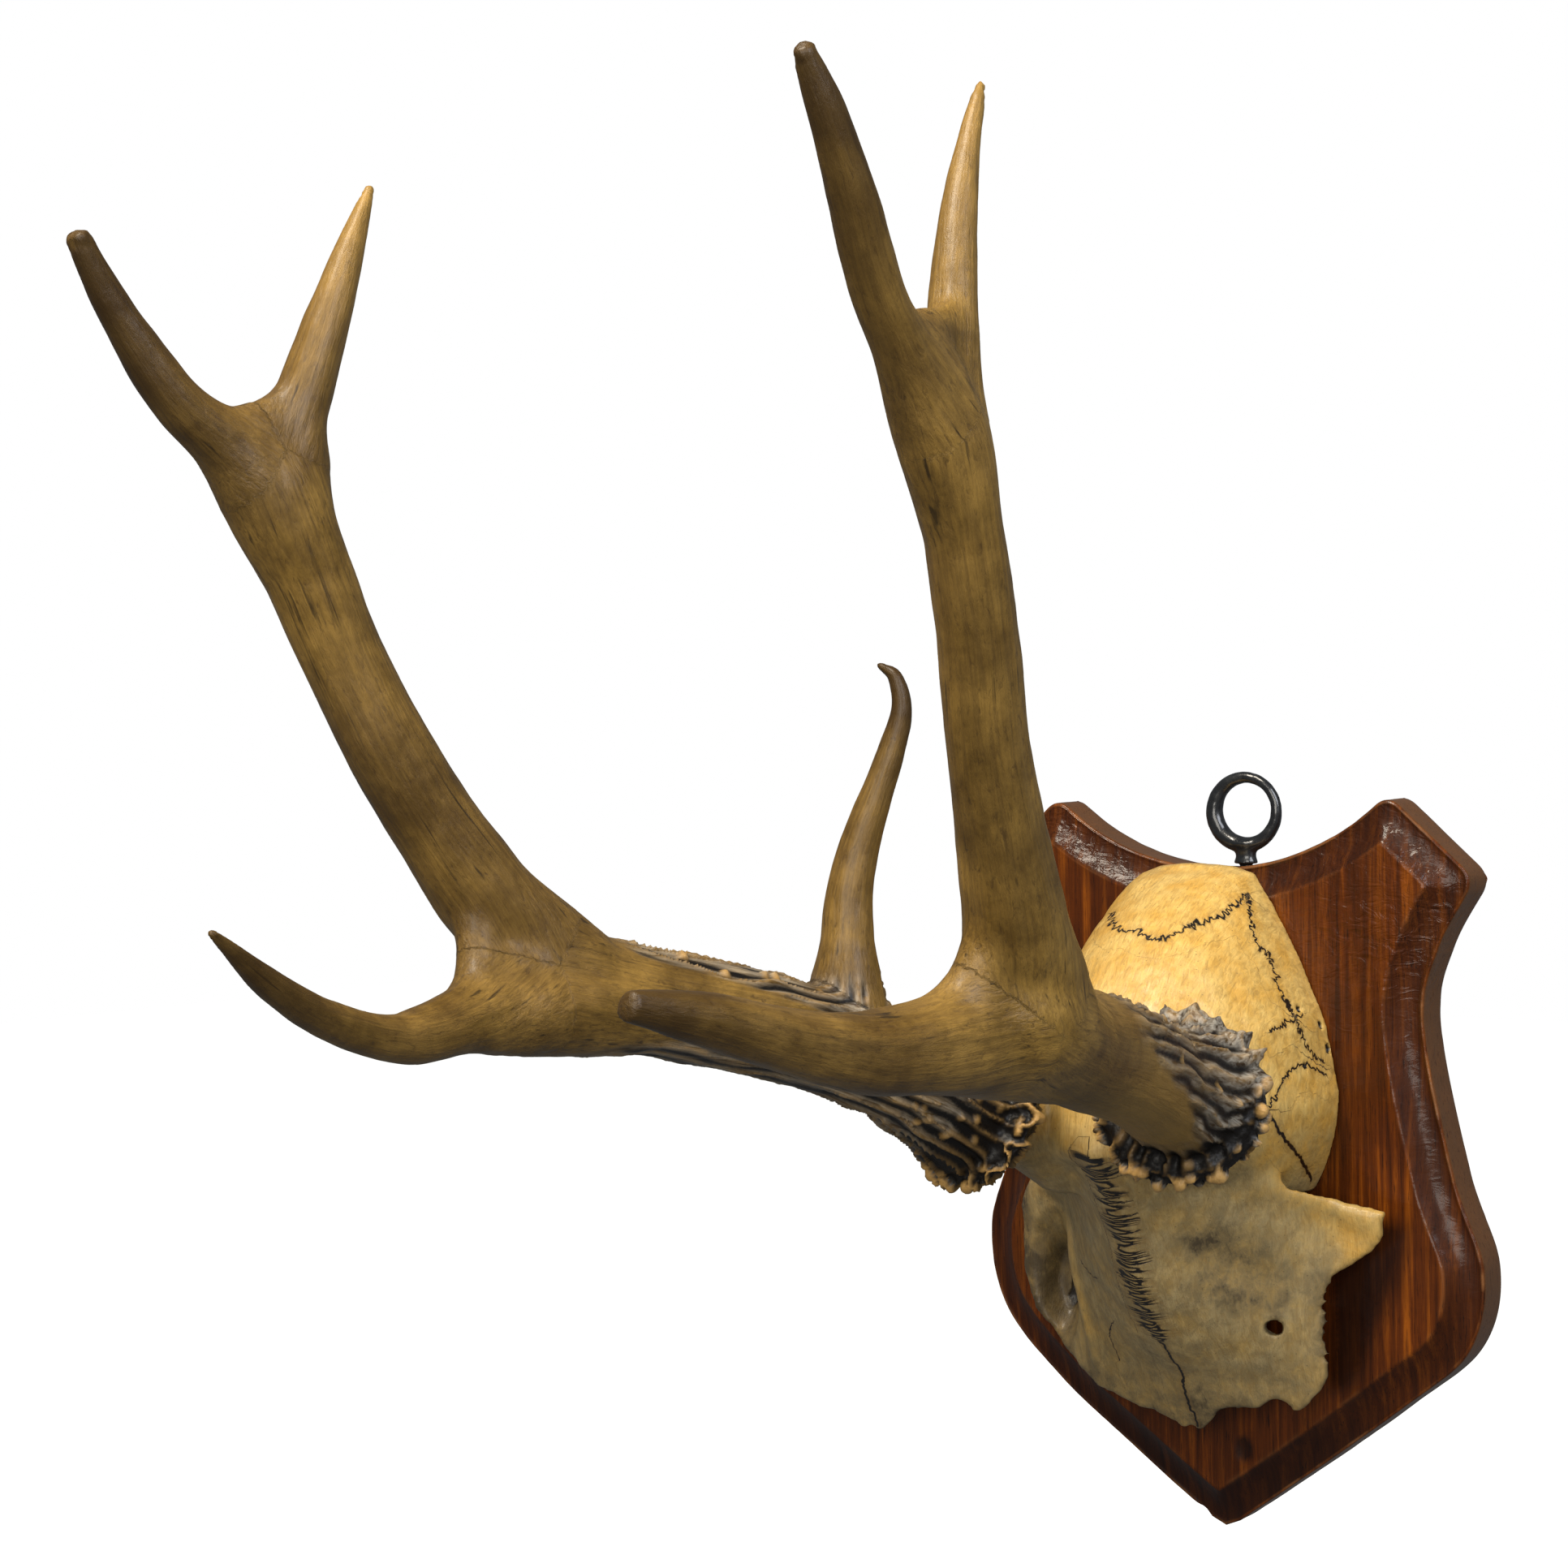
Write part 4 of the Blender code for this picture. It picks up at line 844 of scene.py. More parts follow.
@dataclass
class Antler:
    """One antler: low beam, upright beam, tines, filled forks and its burr."""

    side: Side
    voxel: float = 0.95 * MM
    burr_at: tuple[float, float, float] = (36.6, -96.4, 30.7)
    fork_at: tuple[float, float, float] = (87.7, -281.7, 81.3)
    crown_at: tuple[float, float, float] = (114.0, -357.0, 225.7)
    front_tip: tuple[float, float, float] = (68.7, -420.9, 99.3)
    fore_tip: tuple[float, float, float] = (119.9, -419.9, 295.7)
    rear_tip: tuple[float, float, float] = (105.5, -326.1, 314.4)
    fork_crotch: tuple[float, float, float] = (83.1, -315.2, 88.2)
    crown_crotch: tuple[float, float, float] = (114.4, -369.4, 253.2)
    burr_radius: float = 30.2
    burr_half_depth: float = 5.0
    knob_height: float = 3.8
    ridge_height: float = 2.6
    ridges: float = 20.0
    limbs: dict[str, Limb] = field(default_factory=dict)

    LOW_BY = ((49.7, -146.2, 48.5), (62.8, -194.2, 61.9), (75.7, -239.9, 71.5))
    HIGH_BY = ((92.6, -293.9, 107.5), (98.6, -310.3, 132.0), (103.7, -324.7, 156.0),
               (108.7, -336.0, 179.8), (111.9, -346.4, 203.1))
    FRONT_BY = ((82.2, -312.4, 75.9), (78.8, -343.4, 74.6), (76.2, -372.7, 81.0), (72.8, -398.0, 90.1))
    FORE_BY = ((115.0, -374.1, 238.8), (117.0, -389.2, 252.1), (119.0, -400.3, 266.7), (120.1, -410.4, 281.3))
    REAR_BY = ((111.2, -349.9, 247.3), (108.2, -343.0, 269.2), (106.1, -335.2, 291.6))
    HOOK = ((52.5, -163.4, 60.0), (52.3, -161.9, 90.0), (52.5, -160.4, 104.0), (50.0, -157.9, 120.0),
            (44.8, -155.4, 137.0), (39.9, -152.4, 153.0), (36.8, -150.4, 167.0), (38.6, -150.9, 177.5),
            (43.5, -151.9, 181.5))
    HOOK_R = (12.0, 9.0, 8.0, 6.8, 5.5, 4.7, 3.6, 2.7, 1.5)
    RADII = {
        "low": {1: (18.5, 18.5, 17.6, 16.6, 15.6), -1: (20.0, 18.0, 17.0, 17.0, 17.0)},
        "high": {1: (15.6, 13.6, 11.5, 10.5, 10.1, 9.9, 10.4),
                 -1: (17.0, 14.3, 13.0, 12.7, 12.5, 13.2, 13.6)},
        "front": {1: (15.6, 13.2, 10.2, 8.0, 6.3, 3.8), -1: (17.0, 11.1, 7.2, 5.7, 4.1, 1.4)},
        "fore": {1: (10.0, 7.9, 6.4, 5.5, 4.6, 2.6), -1: (12.0, 9.6, 7.6, 6.2, 4.9, 3.4)},
        "rear": {1: (9.0, 7.2, 5.6, 4.1, 1.5), -1: (12.0, 9.0, 7.2, 5.2, 1.8)},
    }
    LIFT = {1: {"burr": 4.4, "fork": -2.7, "crotch": 0.5, "crown": -3.3, "front": -5.5, "fore": 2.0,
                "rear": -2.7},
            -1: {"burr": -4.9, "fork": 3.5, "crotch": -5.5, "crown": 4.6, "front": 7.2, "fore": -3.4,
                 "rear": 4.0}}
    BOW = {1: {"low": -2.5, "high": 1.8, "front": 5.9, "fore": 1.5, "rear": 0.0},
           -1: {"low": 2.8, "high": -2.6, "front": -7.5, "fore": -2.1, "rear": 0.0}}
    WEB = {1: (8.0, 5.5), -1: (8.0, 7.0)}

    def place(self, stations: Any, lift: Any = 0.0) -> Array:
        """Turn right-hand stations in millimetres from the foot into metres on this side."""
        points = np.array(stations, dtype=float).reshape(-1, 3).copy()
        points[:, 2] += lift
        return points * np.array([self.side.value, 1.0, 1.0]) * MM + np.array([0.0, FOOT_Y, 0.0])

    def lay_out(self) -> None:
        """Work out every limb's stations, lifted from root to tip and bowed in the middle."""
        lift, bow, sign = self.LIFT[self.side.value], self.BOW[self.side.value], self.side.value
        plan = {"low": (self.burr_at, self.LOW_BY, self.fork_at, lift["burr"], lift["fork"]),
                "high": (self.fork_at, self.HIGH_BY, self.crown_at, lift["fork"], lift["crown"]),
                "front": (self.fork_at, self.FRONT_BY, self.front_tip, lift["fork"], lift["front"]),
                "fore": (self.crown_at, self.FORE_BY, self.fore_tip, lift["crown"], lift["fore"]),
                "rear": (self.crown_at, self.REAR_BY, self.rear_tip, lift["crown"], lift["rear"])}
        tips = {"low": Tip.ROUND, "high": Tip.ROUND, "front": Tip.BLUNT if sign > 0 else Tip.POINTED,
                "fore": Tip.BLUNT, "rear": Tip.POINTED}
        for name, (first, between, last, at_root, at_tip) in plan.items():
            stations = np.array([first, *between, last])
            share = np.linspace(0.0, 1.0, len(stations))
            rise = (1.0 - share) * at_root + share * at_tip + 4.0 * bow[name] * share * (1.0 - share)
            radii = np.array(self.RADII[name][sign]) * MM
            self.limbs[name] = Limb(self.place(stations, rise), radii, tips[name],
                                    ends_free=name in ("front", "fore", "rear"))
        low = self.limbs["low"].samples()[2][-1]
        self.limbs["high"].start = self.limbs["front"].start = low
        crown = self.limbs["high"].samples()[2][-1]
        self.limbs["fore"].start = self.limbs["rear"].start = crown
        if self.side is Side.LEFT:
            self.limbs["hook"] = Limb(self.place(self.HOOK), np.array(self.HOOK_R) * MM, Tip.POINTED,
                                      start=75.0 * MM, ends_free=True)

    def fork(self, root: str, first: str, second: str, crotch: Array, web: float) -> list[Shell]:
        """Join two diverging limbs to the beam below them and fill the crotch between them.

        Args:
            root: Name of the limb below.
            first: Name of the forward limb.
            second: Name of the other limb.
            crotch: Lowest point of the open space.
            web: Radius of the web.

        Returns:
            The joining shells.
        """
        below, one, two = self.limbs[root], self.limbs[first], self.limbs[second]
        start, node = below.path[-2], below.path[-1]
        at_start, at_node = below.radii[-2], below.radii[-1]
        low = crotch + unit(node - crotch) * web
        turn = 0.5 * (start + node)
        runs = [([start, 0.5 * (start + one.path[1]), one.path[1], one.path[2]],
                 [at_start, 0.53 * (at_start + one.radii[1]), one.radii[1], one.radii[2]]),
                ([turn, 0.5 * (turn + two.path[1]), two.path[1], two.path[2]],
                 [at_start, 0.5 * (at_start + two.radii[1]), two.radii[1], two.radii[2]]),
                ([start, node, low], [at_start, at_node, web])]
        for share, reach in ((0.0, 0.3), (0.5, 0.0)):
            bow = low + share * (node - low)
            ends = [limb.path[1] + reach * (limb.path[2] - limb.path[1]) for limb in (one, two)]
            runs.append(([ends[0], bow, ends[1]], [0.6 * web, web, 0.6 * web]))
        return [Limb(np.array(path), np.array(radii)).shell() for path, radii in runs]

    def burr(self) -> list[Shell]:
        """Make the burr: r = R (1 - 0.2 h^2) carried round the beam's axis for heights h, and its flare.

        The flare is a trumpet whose centre moves aside, on the right antler up and outwards and
        on the left one down and away, so that the other side keeps a hollow inside the rim.

        Returns:
            The ring and the flare.
        """
        low = self.limbs["low"].path
        axis = unit(low[1] - low[0])
        side = unit(np.array([1.0, 0.0, 0.0]) - axis[0] * axis)
        up = np.cross(axis, side)
        shift = 0.0 if self.side is Side.RIGHT else 8.0 * MM
        centre = low[0] + axis * shift
        angle = np.linspace(0.0, 2.0 * math.pi, 96, endpoint=False)
        around = side * np.cos(angle)[:, None] + up * np.sin(angle)[:, None]
        heights = np.array([-1.1, -0.8, -0.4, 0.1, 0.6, 1.0])
        reach = self.burr_radius * MM * (1.0 - 0.2 * heights ** 2)
        rings = centre + axis * heights[:, None, None] * self.burr_half_depth * MM + reach[:, None,
                                                                                           None] * around
        self.burr_centre, self.burr_axis = centre, axis
        lean = unit(0.55 * side + 0.85 * up) if self.side is Side.RIGHT else unit(-0.45 * side - 0.85 * up)
        run = np.array([2.0, 8.0, 15.0, 23.0, 32.0, 42.0]) * MM
        far = np.array([28.0, 25.4, 23.2, 21.4, 19.8, 18.4])
        near = np.array([19.2, 18.9, 18.6, 18.3, 18.0, 17.6])
        width = 0.5 * (far + near)[:, None, None] * MM
        off = 0.5 * (far - near)[:, None] * MM * lean
        flare = (centre + axis * run[:, None] + off)[:, None, :] + width * around
        return [closed_rings(rings), closed_rings(flare)]

    def relief(self, points: Array) -> tuple[Array, dict[str, Array]]:
        """Work out the raised detail and the masks that colour it.

        Ridges are |2 frac(k a / 2 pi + wander) - 1|^1.6 carried along the beam. Pearls are round
        bumps 1 - (d / r)^2 on the nearest of random seed points, and the burr's knobs are the
        higher of such bumps and of winding crests. All of it fades from the burr towards the fork.

        Args:
            points: The skin's points.

        Returns:
            The height of each point along its normal, and the named masks.
        """
        places, radii, runs, ahead, side, up, free = [], [], [], [], [], [], []
        for limb in self.limbs.values():
            place, radius, run = limb.samples()
            axes = limb.axes(place)
            for kept, found in zip((places, radii, runs, ahead, side, up), (place, radius, run, *axes)):
                kept.append(found)
            free.append(run[-1] - run if limb.ends_free else np.full(len(run), 1.0))
        places, radii, runs = np.vstack(places), np.concatenate(radii), np.concatenate(runs)
        ahead, side, up, free = np.vstack(ahead), np.vstack(side), np.vstack(up), np.concatenate(free)
        kinds = {"rear": (1.0, 75.0, 1.0), "fore": (0.0, 84.0, 1.0), "front": (0.0, 68.0, 0.0)}
        tip_marks = [np.tile(kinds.get(name, (0.0, 60.0, 0.0)), (len(limb.samples()[0]), 1))
                     for name, limb in self.limbs.items()]
        pale, dark_run, chips = np.concatenate(tip_marks).T
        index, _ = nearest(points, places, radii)
        away = points - places[index]
        x, y = (away * side[index]).sum(1), (away * up[index]).sum(1)
        run = runs[index] + (away * ahead[index]).sum(1)
        angle = np.arctan2(y, x)
        grain = np.stack([x, y, run], axis=1)
        millimetres = points / MM
        from_burr = points - self.burr_centre
        height = from_burr @ self.burr_axis
        round_burr = from_burr - height[:, None] * self.burr_axis
        out = np.linalg.norm(round_burr, axis=1)
        over = np.sin(angle)
        if self.side is Side.RIGHT:
            limit = 16.0 + 104.0 * smooth_step(-0.45, 0.85, 0.55 * np.cos(angle) + 0.83 * over)
        else:
            limit = 70.0 + 105.0 * smooth_step(0.15, 0.9, over) + 110.0 * smooth_step(0.2, 0.95, -over)
        reach = run / MM + 26.0 * (layers(millimetres / 15.0, 2, 3) - 0.5)
        rough = smooth_step(12.0, -14.0, reach - limit)
        near_burr = smooth_step(46.0, 14.0, run / MM)
        if "hook" in self.limbs:
            hook = self.limbs["hook"].samples()[0]
            gap = nearest(points, hook)[1]
            rough = rough * (1.0 - smooth_step(71.0 * MM, 82.0 * MM, points[:, 2])
                             * smooth_step(30.0 * MM, 16.0 * MM, gap))
        wander = 1.7 * (layers(millimetres / np.array([20.0, 34.0, 20.0]), 2, 11) - 0.5)
        turns = angle * self.ridges / (2.0 * math.pi) + wander
        saw = np.abs(2.0 * (turns % 1.0) - 1.0)
        piece = np.floor(turns)
        broken = smooth_step(0.30, 0.60,
                             noise(np.column_stack([piece * 3.1, run / (9.0 * MM), piece * 0.0]), 5))
        ridge = saw ** 1.6 * (0.3 + 0.7 * broken)
        gap, value = cells(millimetres / 6.0, 21)
        pearl = np.clip(1.0 - (gap / 0.38) ** 2, 0.0,
                        1.0) * (value > (0.86 if self.side is Side.RIGHT else 0.68))
        pearl = pearl * (1.0 - smooth_step(-0.2, -0.7, over) * smooth_step(50.0, 90.0, run / MM))
        on_burr = smooth_step(9.0 * MM, 5.0 * MM, np.abs(height)) * smooth_step(25.0 * MM, 28.0 * MM, out)
        worm = 1.0 - np.abs(layers(millimetres / 7.2, 2, 33) - 0.5) * 8.5
        gap, value = cells(millimetres / 6.2, 35)
        knob = np.maximum(np.clip(worm, 0.0, 1.0), np.clip(1.15 - (gap / 0.5) ** 2, 0.0, 1.0)
                          * (value > 0.35))
        high = smooth_step(-0.2, 0.7, np.sin(angle)) if self.side is Side.RIGHT else 0.0
        spike = saw ** 1.3 * (0.4 + 0.6 * hashed(np.stack([piece, piece * 0.0, piece * 0.0], 1), 7))
        plain = 1.0 - np.maximum(rough, on_burr)
        worn_below = 0.7 * smooth_step(-0.2, -0.7, over) * smooth_step(50.0, 90.0, run / MM)
        strong = (0.7 + 0.3 * near_burr) * (1.0 - worn_below)
        bumpy = (0.8 * (layers(millimetres / 17.0, 3, 41) - 0.5)
                 + 0.7 * (layers(grain / MM / np.array([3.4, 3.4, 34.0]), 3, 43) - 0.5))
        torn = layers(grain / MM / np.array([2.4, 2.4, 13.0]), 2, 45) - 0.5
        rise = (rough * (1.0 - on_burr)
                * (strong * self.ridge_height * (ridge - 0.35) + 1.5 * pearl + 1.6 * torn)
                + on_burr * (self.knob_height * (knob - 0.45) * (1.0 - 0.6 * high) + 4.2 * high
                             * (spike - 0.15))
                + plain * bumpy)
        chipped = chips[index] * smooth_step(6.0 * MM, 0.0,
                                             free[index]) * (layers(millimetres / 2.6, 2, 47) - 0.4)
        rise -= 1.5 * chipped
        crest = np.clip(ridge * 1.5 - 0.5, 0.0, 1.0) * broken
        near_tip = smooth_step(1.0, 0.1, free[index] / MM / dark_run[index])
        ends = near_tip * (0.5 + 0.9 * layers(millimetres / 12.0, 3, 53))
        # Painted shade in the hollows between the burr's knobs.
        hollow = on_burr * smooth_step(0.55, 0.15, knob) * (1.0 - 0.7 * high)
        darkening = 0.0
        wash = 0.6 * smooth_step(150.0, 90.0, run / MM) * (1.0 - rough)
        # Painted shade under the left beam near its burr.
        if self.side is Side.LEFT:
            darkening = 0.95 * smooth_step(46.0, 22.0, run / MM) * rough * smooth_step(0.6, -0.1, over)
            wash = 0.0
        under = smooth_step(-0.1, -0.6, over)
        masks = {
            "grain": grain,
            # Toward their ends the fore and front tines darken, partly their own colour and partly painted
            # shade of their unlit sides; rear tines, chips and the near low beam turn paler.
            "tip_dark": np.clip(1.0 * ends * (1.0 - pale[index]), 0.0, 0.85),
            "tip_pale": np.clip(0.45 * ends * pale[index] + 0.6 * chipped + wash, 0.0, 0.9),
            "rough": np.clip(rough * (0.5 + 0.5 * near_burr) + on_burr, 0.0, 1.0),
            # Darker in the furrows between ridges; painted shade between the burr's knobs, under the burr's
            # rim, under the beam beside the pedicle and under the left beam near the burr.
            "dark": np.clip(rough * (1.0 - on_burr) * smooth_step(0.6, 0.15, saw) + hollow + darkening
                            + 1.3 * smooth_step(30.0 * MM, 27.5 * MM, out)
                            * smooth_step(8.0, 4.5, height / MM)
                            * (smooth_step(0.3, -0.15, over) if self.side is Side.RIGHT else 1.0)
                            + 0.9 * smooth_step(26.0 * MM, 22.0 * MM, out)
                            * smooth_step(20.0, 7.0, height / MM)
                            * under, 0.0, 1.0),
            "knob": np.clip(rough * (1.0 - on_burr) * np.maximum(0.4 * crest, 0.8 * pearl)
                            + on_burr * smooth_step(0.4, 0.7, knob) * (1.0 - 0.7 * high), 0.0, 0.95),
        }
        return rise * MM, masks

    def build(self, finish: bpy.types.Material) -> bpy.types.Object:
        """Join the limbs into one skin, raise its detail and dress it."""
        self.lay_out()
        lift = self.LIFT[self.side.value]
        low, high = self.limbs["low"], self.limbs["high"]
        shells = [Limb(low.path[:-1], low.radii[:-1]).shell(),
                  Limb(high.path[1:-1], high.radii[1:-1]).shell()]
        for name in ("front", "fore", "rear"):
            limb = self.limbs[name]
            shells.append(Limb(limb.path[1:], limb.radii[1:], limb.tip).shell())
        if "hook" in self.limbs:
            hook = self.limbs["hook"].path
            shells.append(self.limbs["hook"].shell())
            shells.append(Limb(np.array([hook[0], 0.5 * (hook[0] + hook[1]), hook[1]]),
                               np.array([16.0, 12.5, 9.0]) * MM).shell())
        crotch = self.place(self.fork_crotch, lift["crotch"])[0]
        shells += self.fork("low", "front", "high", crotch, self.WEB[self.side.value][0] * MM)
        shells += self.fork("high", "fore", "rear", self.place(self.crown_crotch)[0],
                            self.WEB[self.side.value][1] * MM)
        shells += self.burr()
        skin = one_skin(shells, self.voxel, 4)
        points, _ = read_mesh(skin)
        nodes = [low.path[-1], crotch, high.path[-1], self.place(self.crown_crotch)[0]]
        if "hook" in self.limbs:
            nodes.append(self.limbs["hook"].path[0])
        nodes = np.array(nodes)
        gap = np.min(np.linalg.norm(points[:, None, :] - nodes[None], axis=2), axis=1)
        relax(skin, 0.6 * smooth_step(34.0 * MM, 16.0 * MM, gap), 40)
        for crotch_at, reach in ((crotch, 30.0), (self.place(self.crown_crotch)[0], 24.0)):
            gap = np.linalg.norm(points - crotch_at, axis=1)
            relax(skin, 0.7 * smooth_step(reach * MM, 9.0 * MM, gap), 110)
        points, normals = read_mesh(skin)
        rise, masks = self.relief(points)
        points += normals * rise[:, None]
        skin.vertices.foreach_set("co", points.ravel())
        skin.update()
        for name, values in masks.items():
            put_attribute(skin, name, values)
        name = "antler_right" if self.side is Side.RIGHT else "antler_left"
        return show(name, skin, finish, "bone_and_antler", "skull_with_antlers")


@dataclass
class SkullCap:
    """The skull cap: braincase, pedicles and the frontal plate with its ragged edges."""

    voxel: float = 1.06 * MM
    crown_z: float = 111.0
    half_width: float = 51.0
    lean: float = -3.0
    widest_z: float = 28.0
    low_z: float = -8.0
    brow_out: float = 91.4
    brow_z: float = 12.0
    plate_thick: float = 4.0
    foramen: tuple[float, float, float] = (37.3, -53.5, 2.9)

    FALL = ((0.0, 0.02), (0.015, 0.28), (0.05, 0.43), (0.17, 0.55), (0.42, 0.75), (0.70, 0.93), (1.0, 1.0))
    MIDLINE = ((12.0, 91.4), (-20.0, 70.4), (-39.0, 60.4), (-59.0, 44.4), (-74.0, 30.4), (-95.0, 19.4))
    OUTLINE = ((-34.0, 16.0), (34.0, 16.0), (43.0, 4.0), (47.0, -1.5), (53.8, -5.6), (60.0, -9.4),
               (66.0, -10.4),
               (72.6, -11.8), (71.4, -15.0), (71.0, -20.3), (67.6, -25.0), (64.2, -28.1), (59.5, -31.5),
               (55.2, -34.8), (52.6, -40.8), (52.4, -48.0), (51.8, -56.0), (51.9, -66.0), (51.2, -72.0),
               (47.5, -78.5), (40.6, -85.4), (38.6, -83.6), (36.9, -81.4), (33.1, -80.5), (29.9, -82.6),
               (27.3, -85.0), (20.9, -85.6), (16.0, -85.8), (11.0, -87.6), (8.0, -91.0), (5.4, -94.0),
               (1.8, -97.0), (-1.2, -95.2), (-4.2, -96.6), (-8.0, -95.0), (-12.2, -92.8), (-18.9, -91.6),
               (-25.7, -90.0), (-32.0, -87.6), (-37.7, -87.2), (-44.0, -83.6), (-56.9, -74.3), (-69.2, -60.2),
               (-75.1, -45.1), (-75.5, -34.0), (-74.5, -22.0), (-70.0, -10.0), (-60.0, -1.0), (-46.0, 8.0))
    CROSS = ((-20.0, -60.0, 93.0), (-12.0, -71.7, 88.4), (-3.1, -73.6, 87.9), (7.5, -75.2, 85.3),
             (15.0, -64.8, 89.7), (20.6, -53.5, 93.0), (22.8, -35.0, 100.3))
    FLANK = ((22.8, -36.0, 100.0), (26.4, -42.4, 92.0), (30.6, -46.3, 83.6), (34.5, -43.3, 77.7),
             (38.8, -46.0, 67.8), (42.8, -44.8, 59.2), (47.1, -41.2, 46.1), (48.8, -30.0, 39.3))
    BRANCH = ((42.7, -61.6, 52.9), (44.0, -47.5, 55.7), (44.2, -37.8, 57.2))
    LOWER = ((46.0, -70.0, 28.0), (46.8, -57.7, 37.6), (47.8, -46.3, 40.2), (49.6, -30.4, 35.0))
    JOINT = ((46.0, -69.5, 24.7), (47.0, -62.1, 16.8), (46.6, -48.1, 7.9), (42.6, -30.0, -3.1))
    MIDDLE = ((-1.3, -111.5, 11.0), (-0.9, -104.0, -1.3), (-0.3, -91.1, -20.1), (-1.2, -81.1, -39.1),
              (-1.4, -72.0, -50.8), (-0.1, -65.5, -59.2))
    HAIR = ((-24.0, -64.0, -58.0), (-30.0, -58.0, -66.0), (-28.0, -52.0, -76.0))
    SHORT = ((-38.0, -60.0, -36.0), (-29.0, -66.0, -40.0), (-24.0, -68.0, -39.0))
    CLEFT = ((-0.1, -65.5, -59.2), (1.3, -53.0, -73.1), (0.5, -47.2, -83.3), (1.8, -42.0, -96.0))
    SEAMS = ((CROSS, 9.0, 0.0, 0.0, 0.36), (FLANK, 9.0, 0.0, 0.0, 0.38), (BRANCH, 5.0, 0.0, 0.0, 0.28),
             (LOWER, 5.0, 0.0, 0.0, 0.32), (JOINT, 1.6, 0.0, 0.0, 0.5), (MIDDLE, 5.0, 9.0, 4.5, 0.62),
             (CLEFT, 1.2, 0.0, 0.0, 0.42), (HAIR, 1.5, 0.0, 0.0, 0.17), (SHORT, 1.5, 0.0, 0.0, 0.15))
    BROWS = (((-43.0, 3.0), (-67.0, -19.0), 17.0, 8.5), ((42.0, -1.0), (66.0, -14.0), 6.0, 6.0))
    PITS = ((43.3, -38.6, 59.0, 1.5), (46.4, -26.8, 52.9, 1.7), (48.0, -24.6, 44.0, 2.0),
            (48.1, -44.9, 39.3, 1.3))
    GREY = ((22.4, -76.8, -20.2), (30.0, -67.0, -26.7), (33.9, -62.2, -30.0), (36.9, -56.0, -42.2),
            (24.6, -69.2, -35.5))

    def braincase(self) -> Shell:
        """Loft the braincase: x = w(z) |cos a|^0.86 + lean, y = foot - d(z) sin(a)^0.8 for heights z."""
        share = np.linspace(0.0, 1.0, 70) ** 1.5
        z = self.crown_z - 0.3 - share * (self.crown_z - self.low_z - 0.3)
        fall = (self.crown_z - z) / (self.crown_z - self.widest_z)
        below = (self.widest_z - z) / (self.widest_z - self.low_z)
        width = np.where(fall < 1.0, np.interp(fall, *np.array(self.FALL).T), 1.0 - 0.2 * below ** 2)
        over = (self.crown_z - z) / (self.crown_z - self.brow_z)
        under = (self.brow_z - z) / (self.brow_z - self.low_z)
        depth = np.where(z > self.brow_z,
                         np.maximum(0.16, np.sin(0.5 * math.pi * np.clip(over, 0, 1)) ** 0.55),
                         1.0 - 0.4 * under)
        lean = self.lean * np.maximum(0.0, (z - self.widest_z) / (self.crown_z - self.widest_z))
        angle = np.linspace(0.0, math.pi, 90)
        x = (self.half_width * width[:, None] * np.sign(np.cos(angle)) * np.abs(np.cos(angle)) ** 0.86
             + lean[:, None])
        y = FOOT_Y / MM - self.brow_out * depth[:, None] * np.maximum(np.sin(angle), 0.0) ** 0.8
        return closed_rings(np.stack([x, y, np.repeat(z[:, None], 90, 1)], -1) * MM)

    def face_depth(self, x: Array, z: Array) -> Array:
        """Depth of the frontal plate in millimetres: a roof falling from its ridge to its edges.

        y = foot - (m(z) + (e - m(z)) (|x| / 56)^1.4), with a pit for the left orbit, a shallow
        hollow on the right and a low rim round the left orbit.

        Args:
            x: Places across, in millimetres.
            z: Heights, in millimetres.

        Returns:
            The depth at each place.
        """
        heights, reach = np.array(self.MIDLINE)[::-1].T
        mid = np.interp(z, heights, reach)
        mid = mid + 2.0 * smooth_step(6.0, 14.0, z)
        share = np.minimum(1.0, np.abs(x) / 56.0)
        out = mid + (np.minimum(15.4, mid) - mid) * share ** 1.4
        y = FOOT_Y / MM - out + 0.12 * np.maximum(0.0, np.abs(x) - 56.0)
        pit = np.exp(-(((x + 56.5) / 8.5) ** 2 + ((z + 50.0) / 18.0) ** 2) ** 2)
        hollow = np.exp(-(((x - 28.0) / 13.0) ** 2 + ((z + 30.0 + 0.5 * (x - 28.0)) / 13.0) ** 2))
        edge = np.exp(-((x + 43.5 + 0.14 * (z + 45.0)) / 2.6) ** 2) * smooth_step(-90.0, -70.0, z)
        edge = edge * smooth_step(-18.0, -34.0, z)
        rim = np.exp(-((np.hypot((x + 54.0) / 17.0, (z + 44.0) / 24.0) - 1.0) / 0.13) ** 2) * (x < -54.0)
        y = y + 11.0 * pit + 4.5 * hollow - 2.6 * edge - 1.6 * rim
        for (ax, az), (bx, bz), high, wide in self.BROWS:
            share = np.clip(((x - ax) * (bx - ax) + (z - az) * (bz - az)) / ((bx - ax) ** 2
                                                                             + (bz - az) ** 2), 0, 1)
            gap = np.hypot(x - ax - share * (bx - ax), z - az - share * (bz - az))
            y = y - high * (1.0 - 0.7 * share) * np.exp(-(gap / wide) ** 2)
        return np.minimum(y, BOARD_FACE / MM - 2.5 - self.plate_thick)

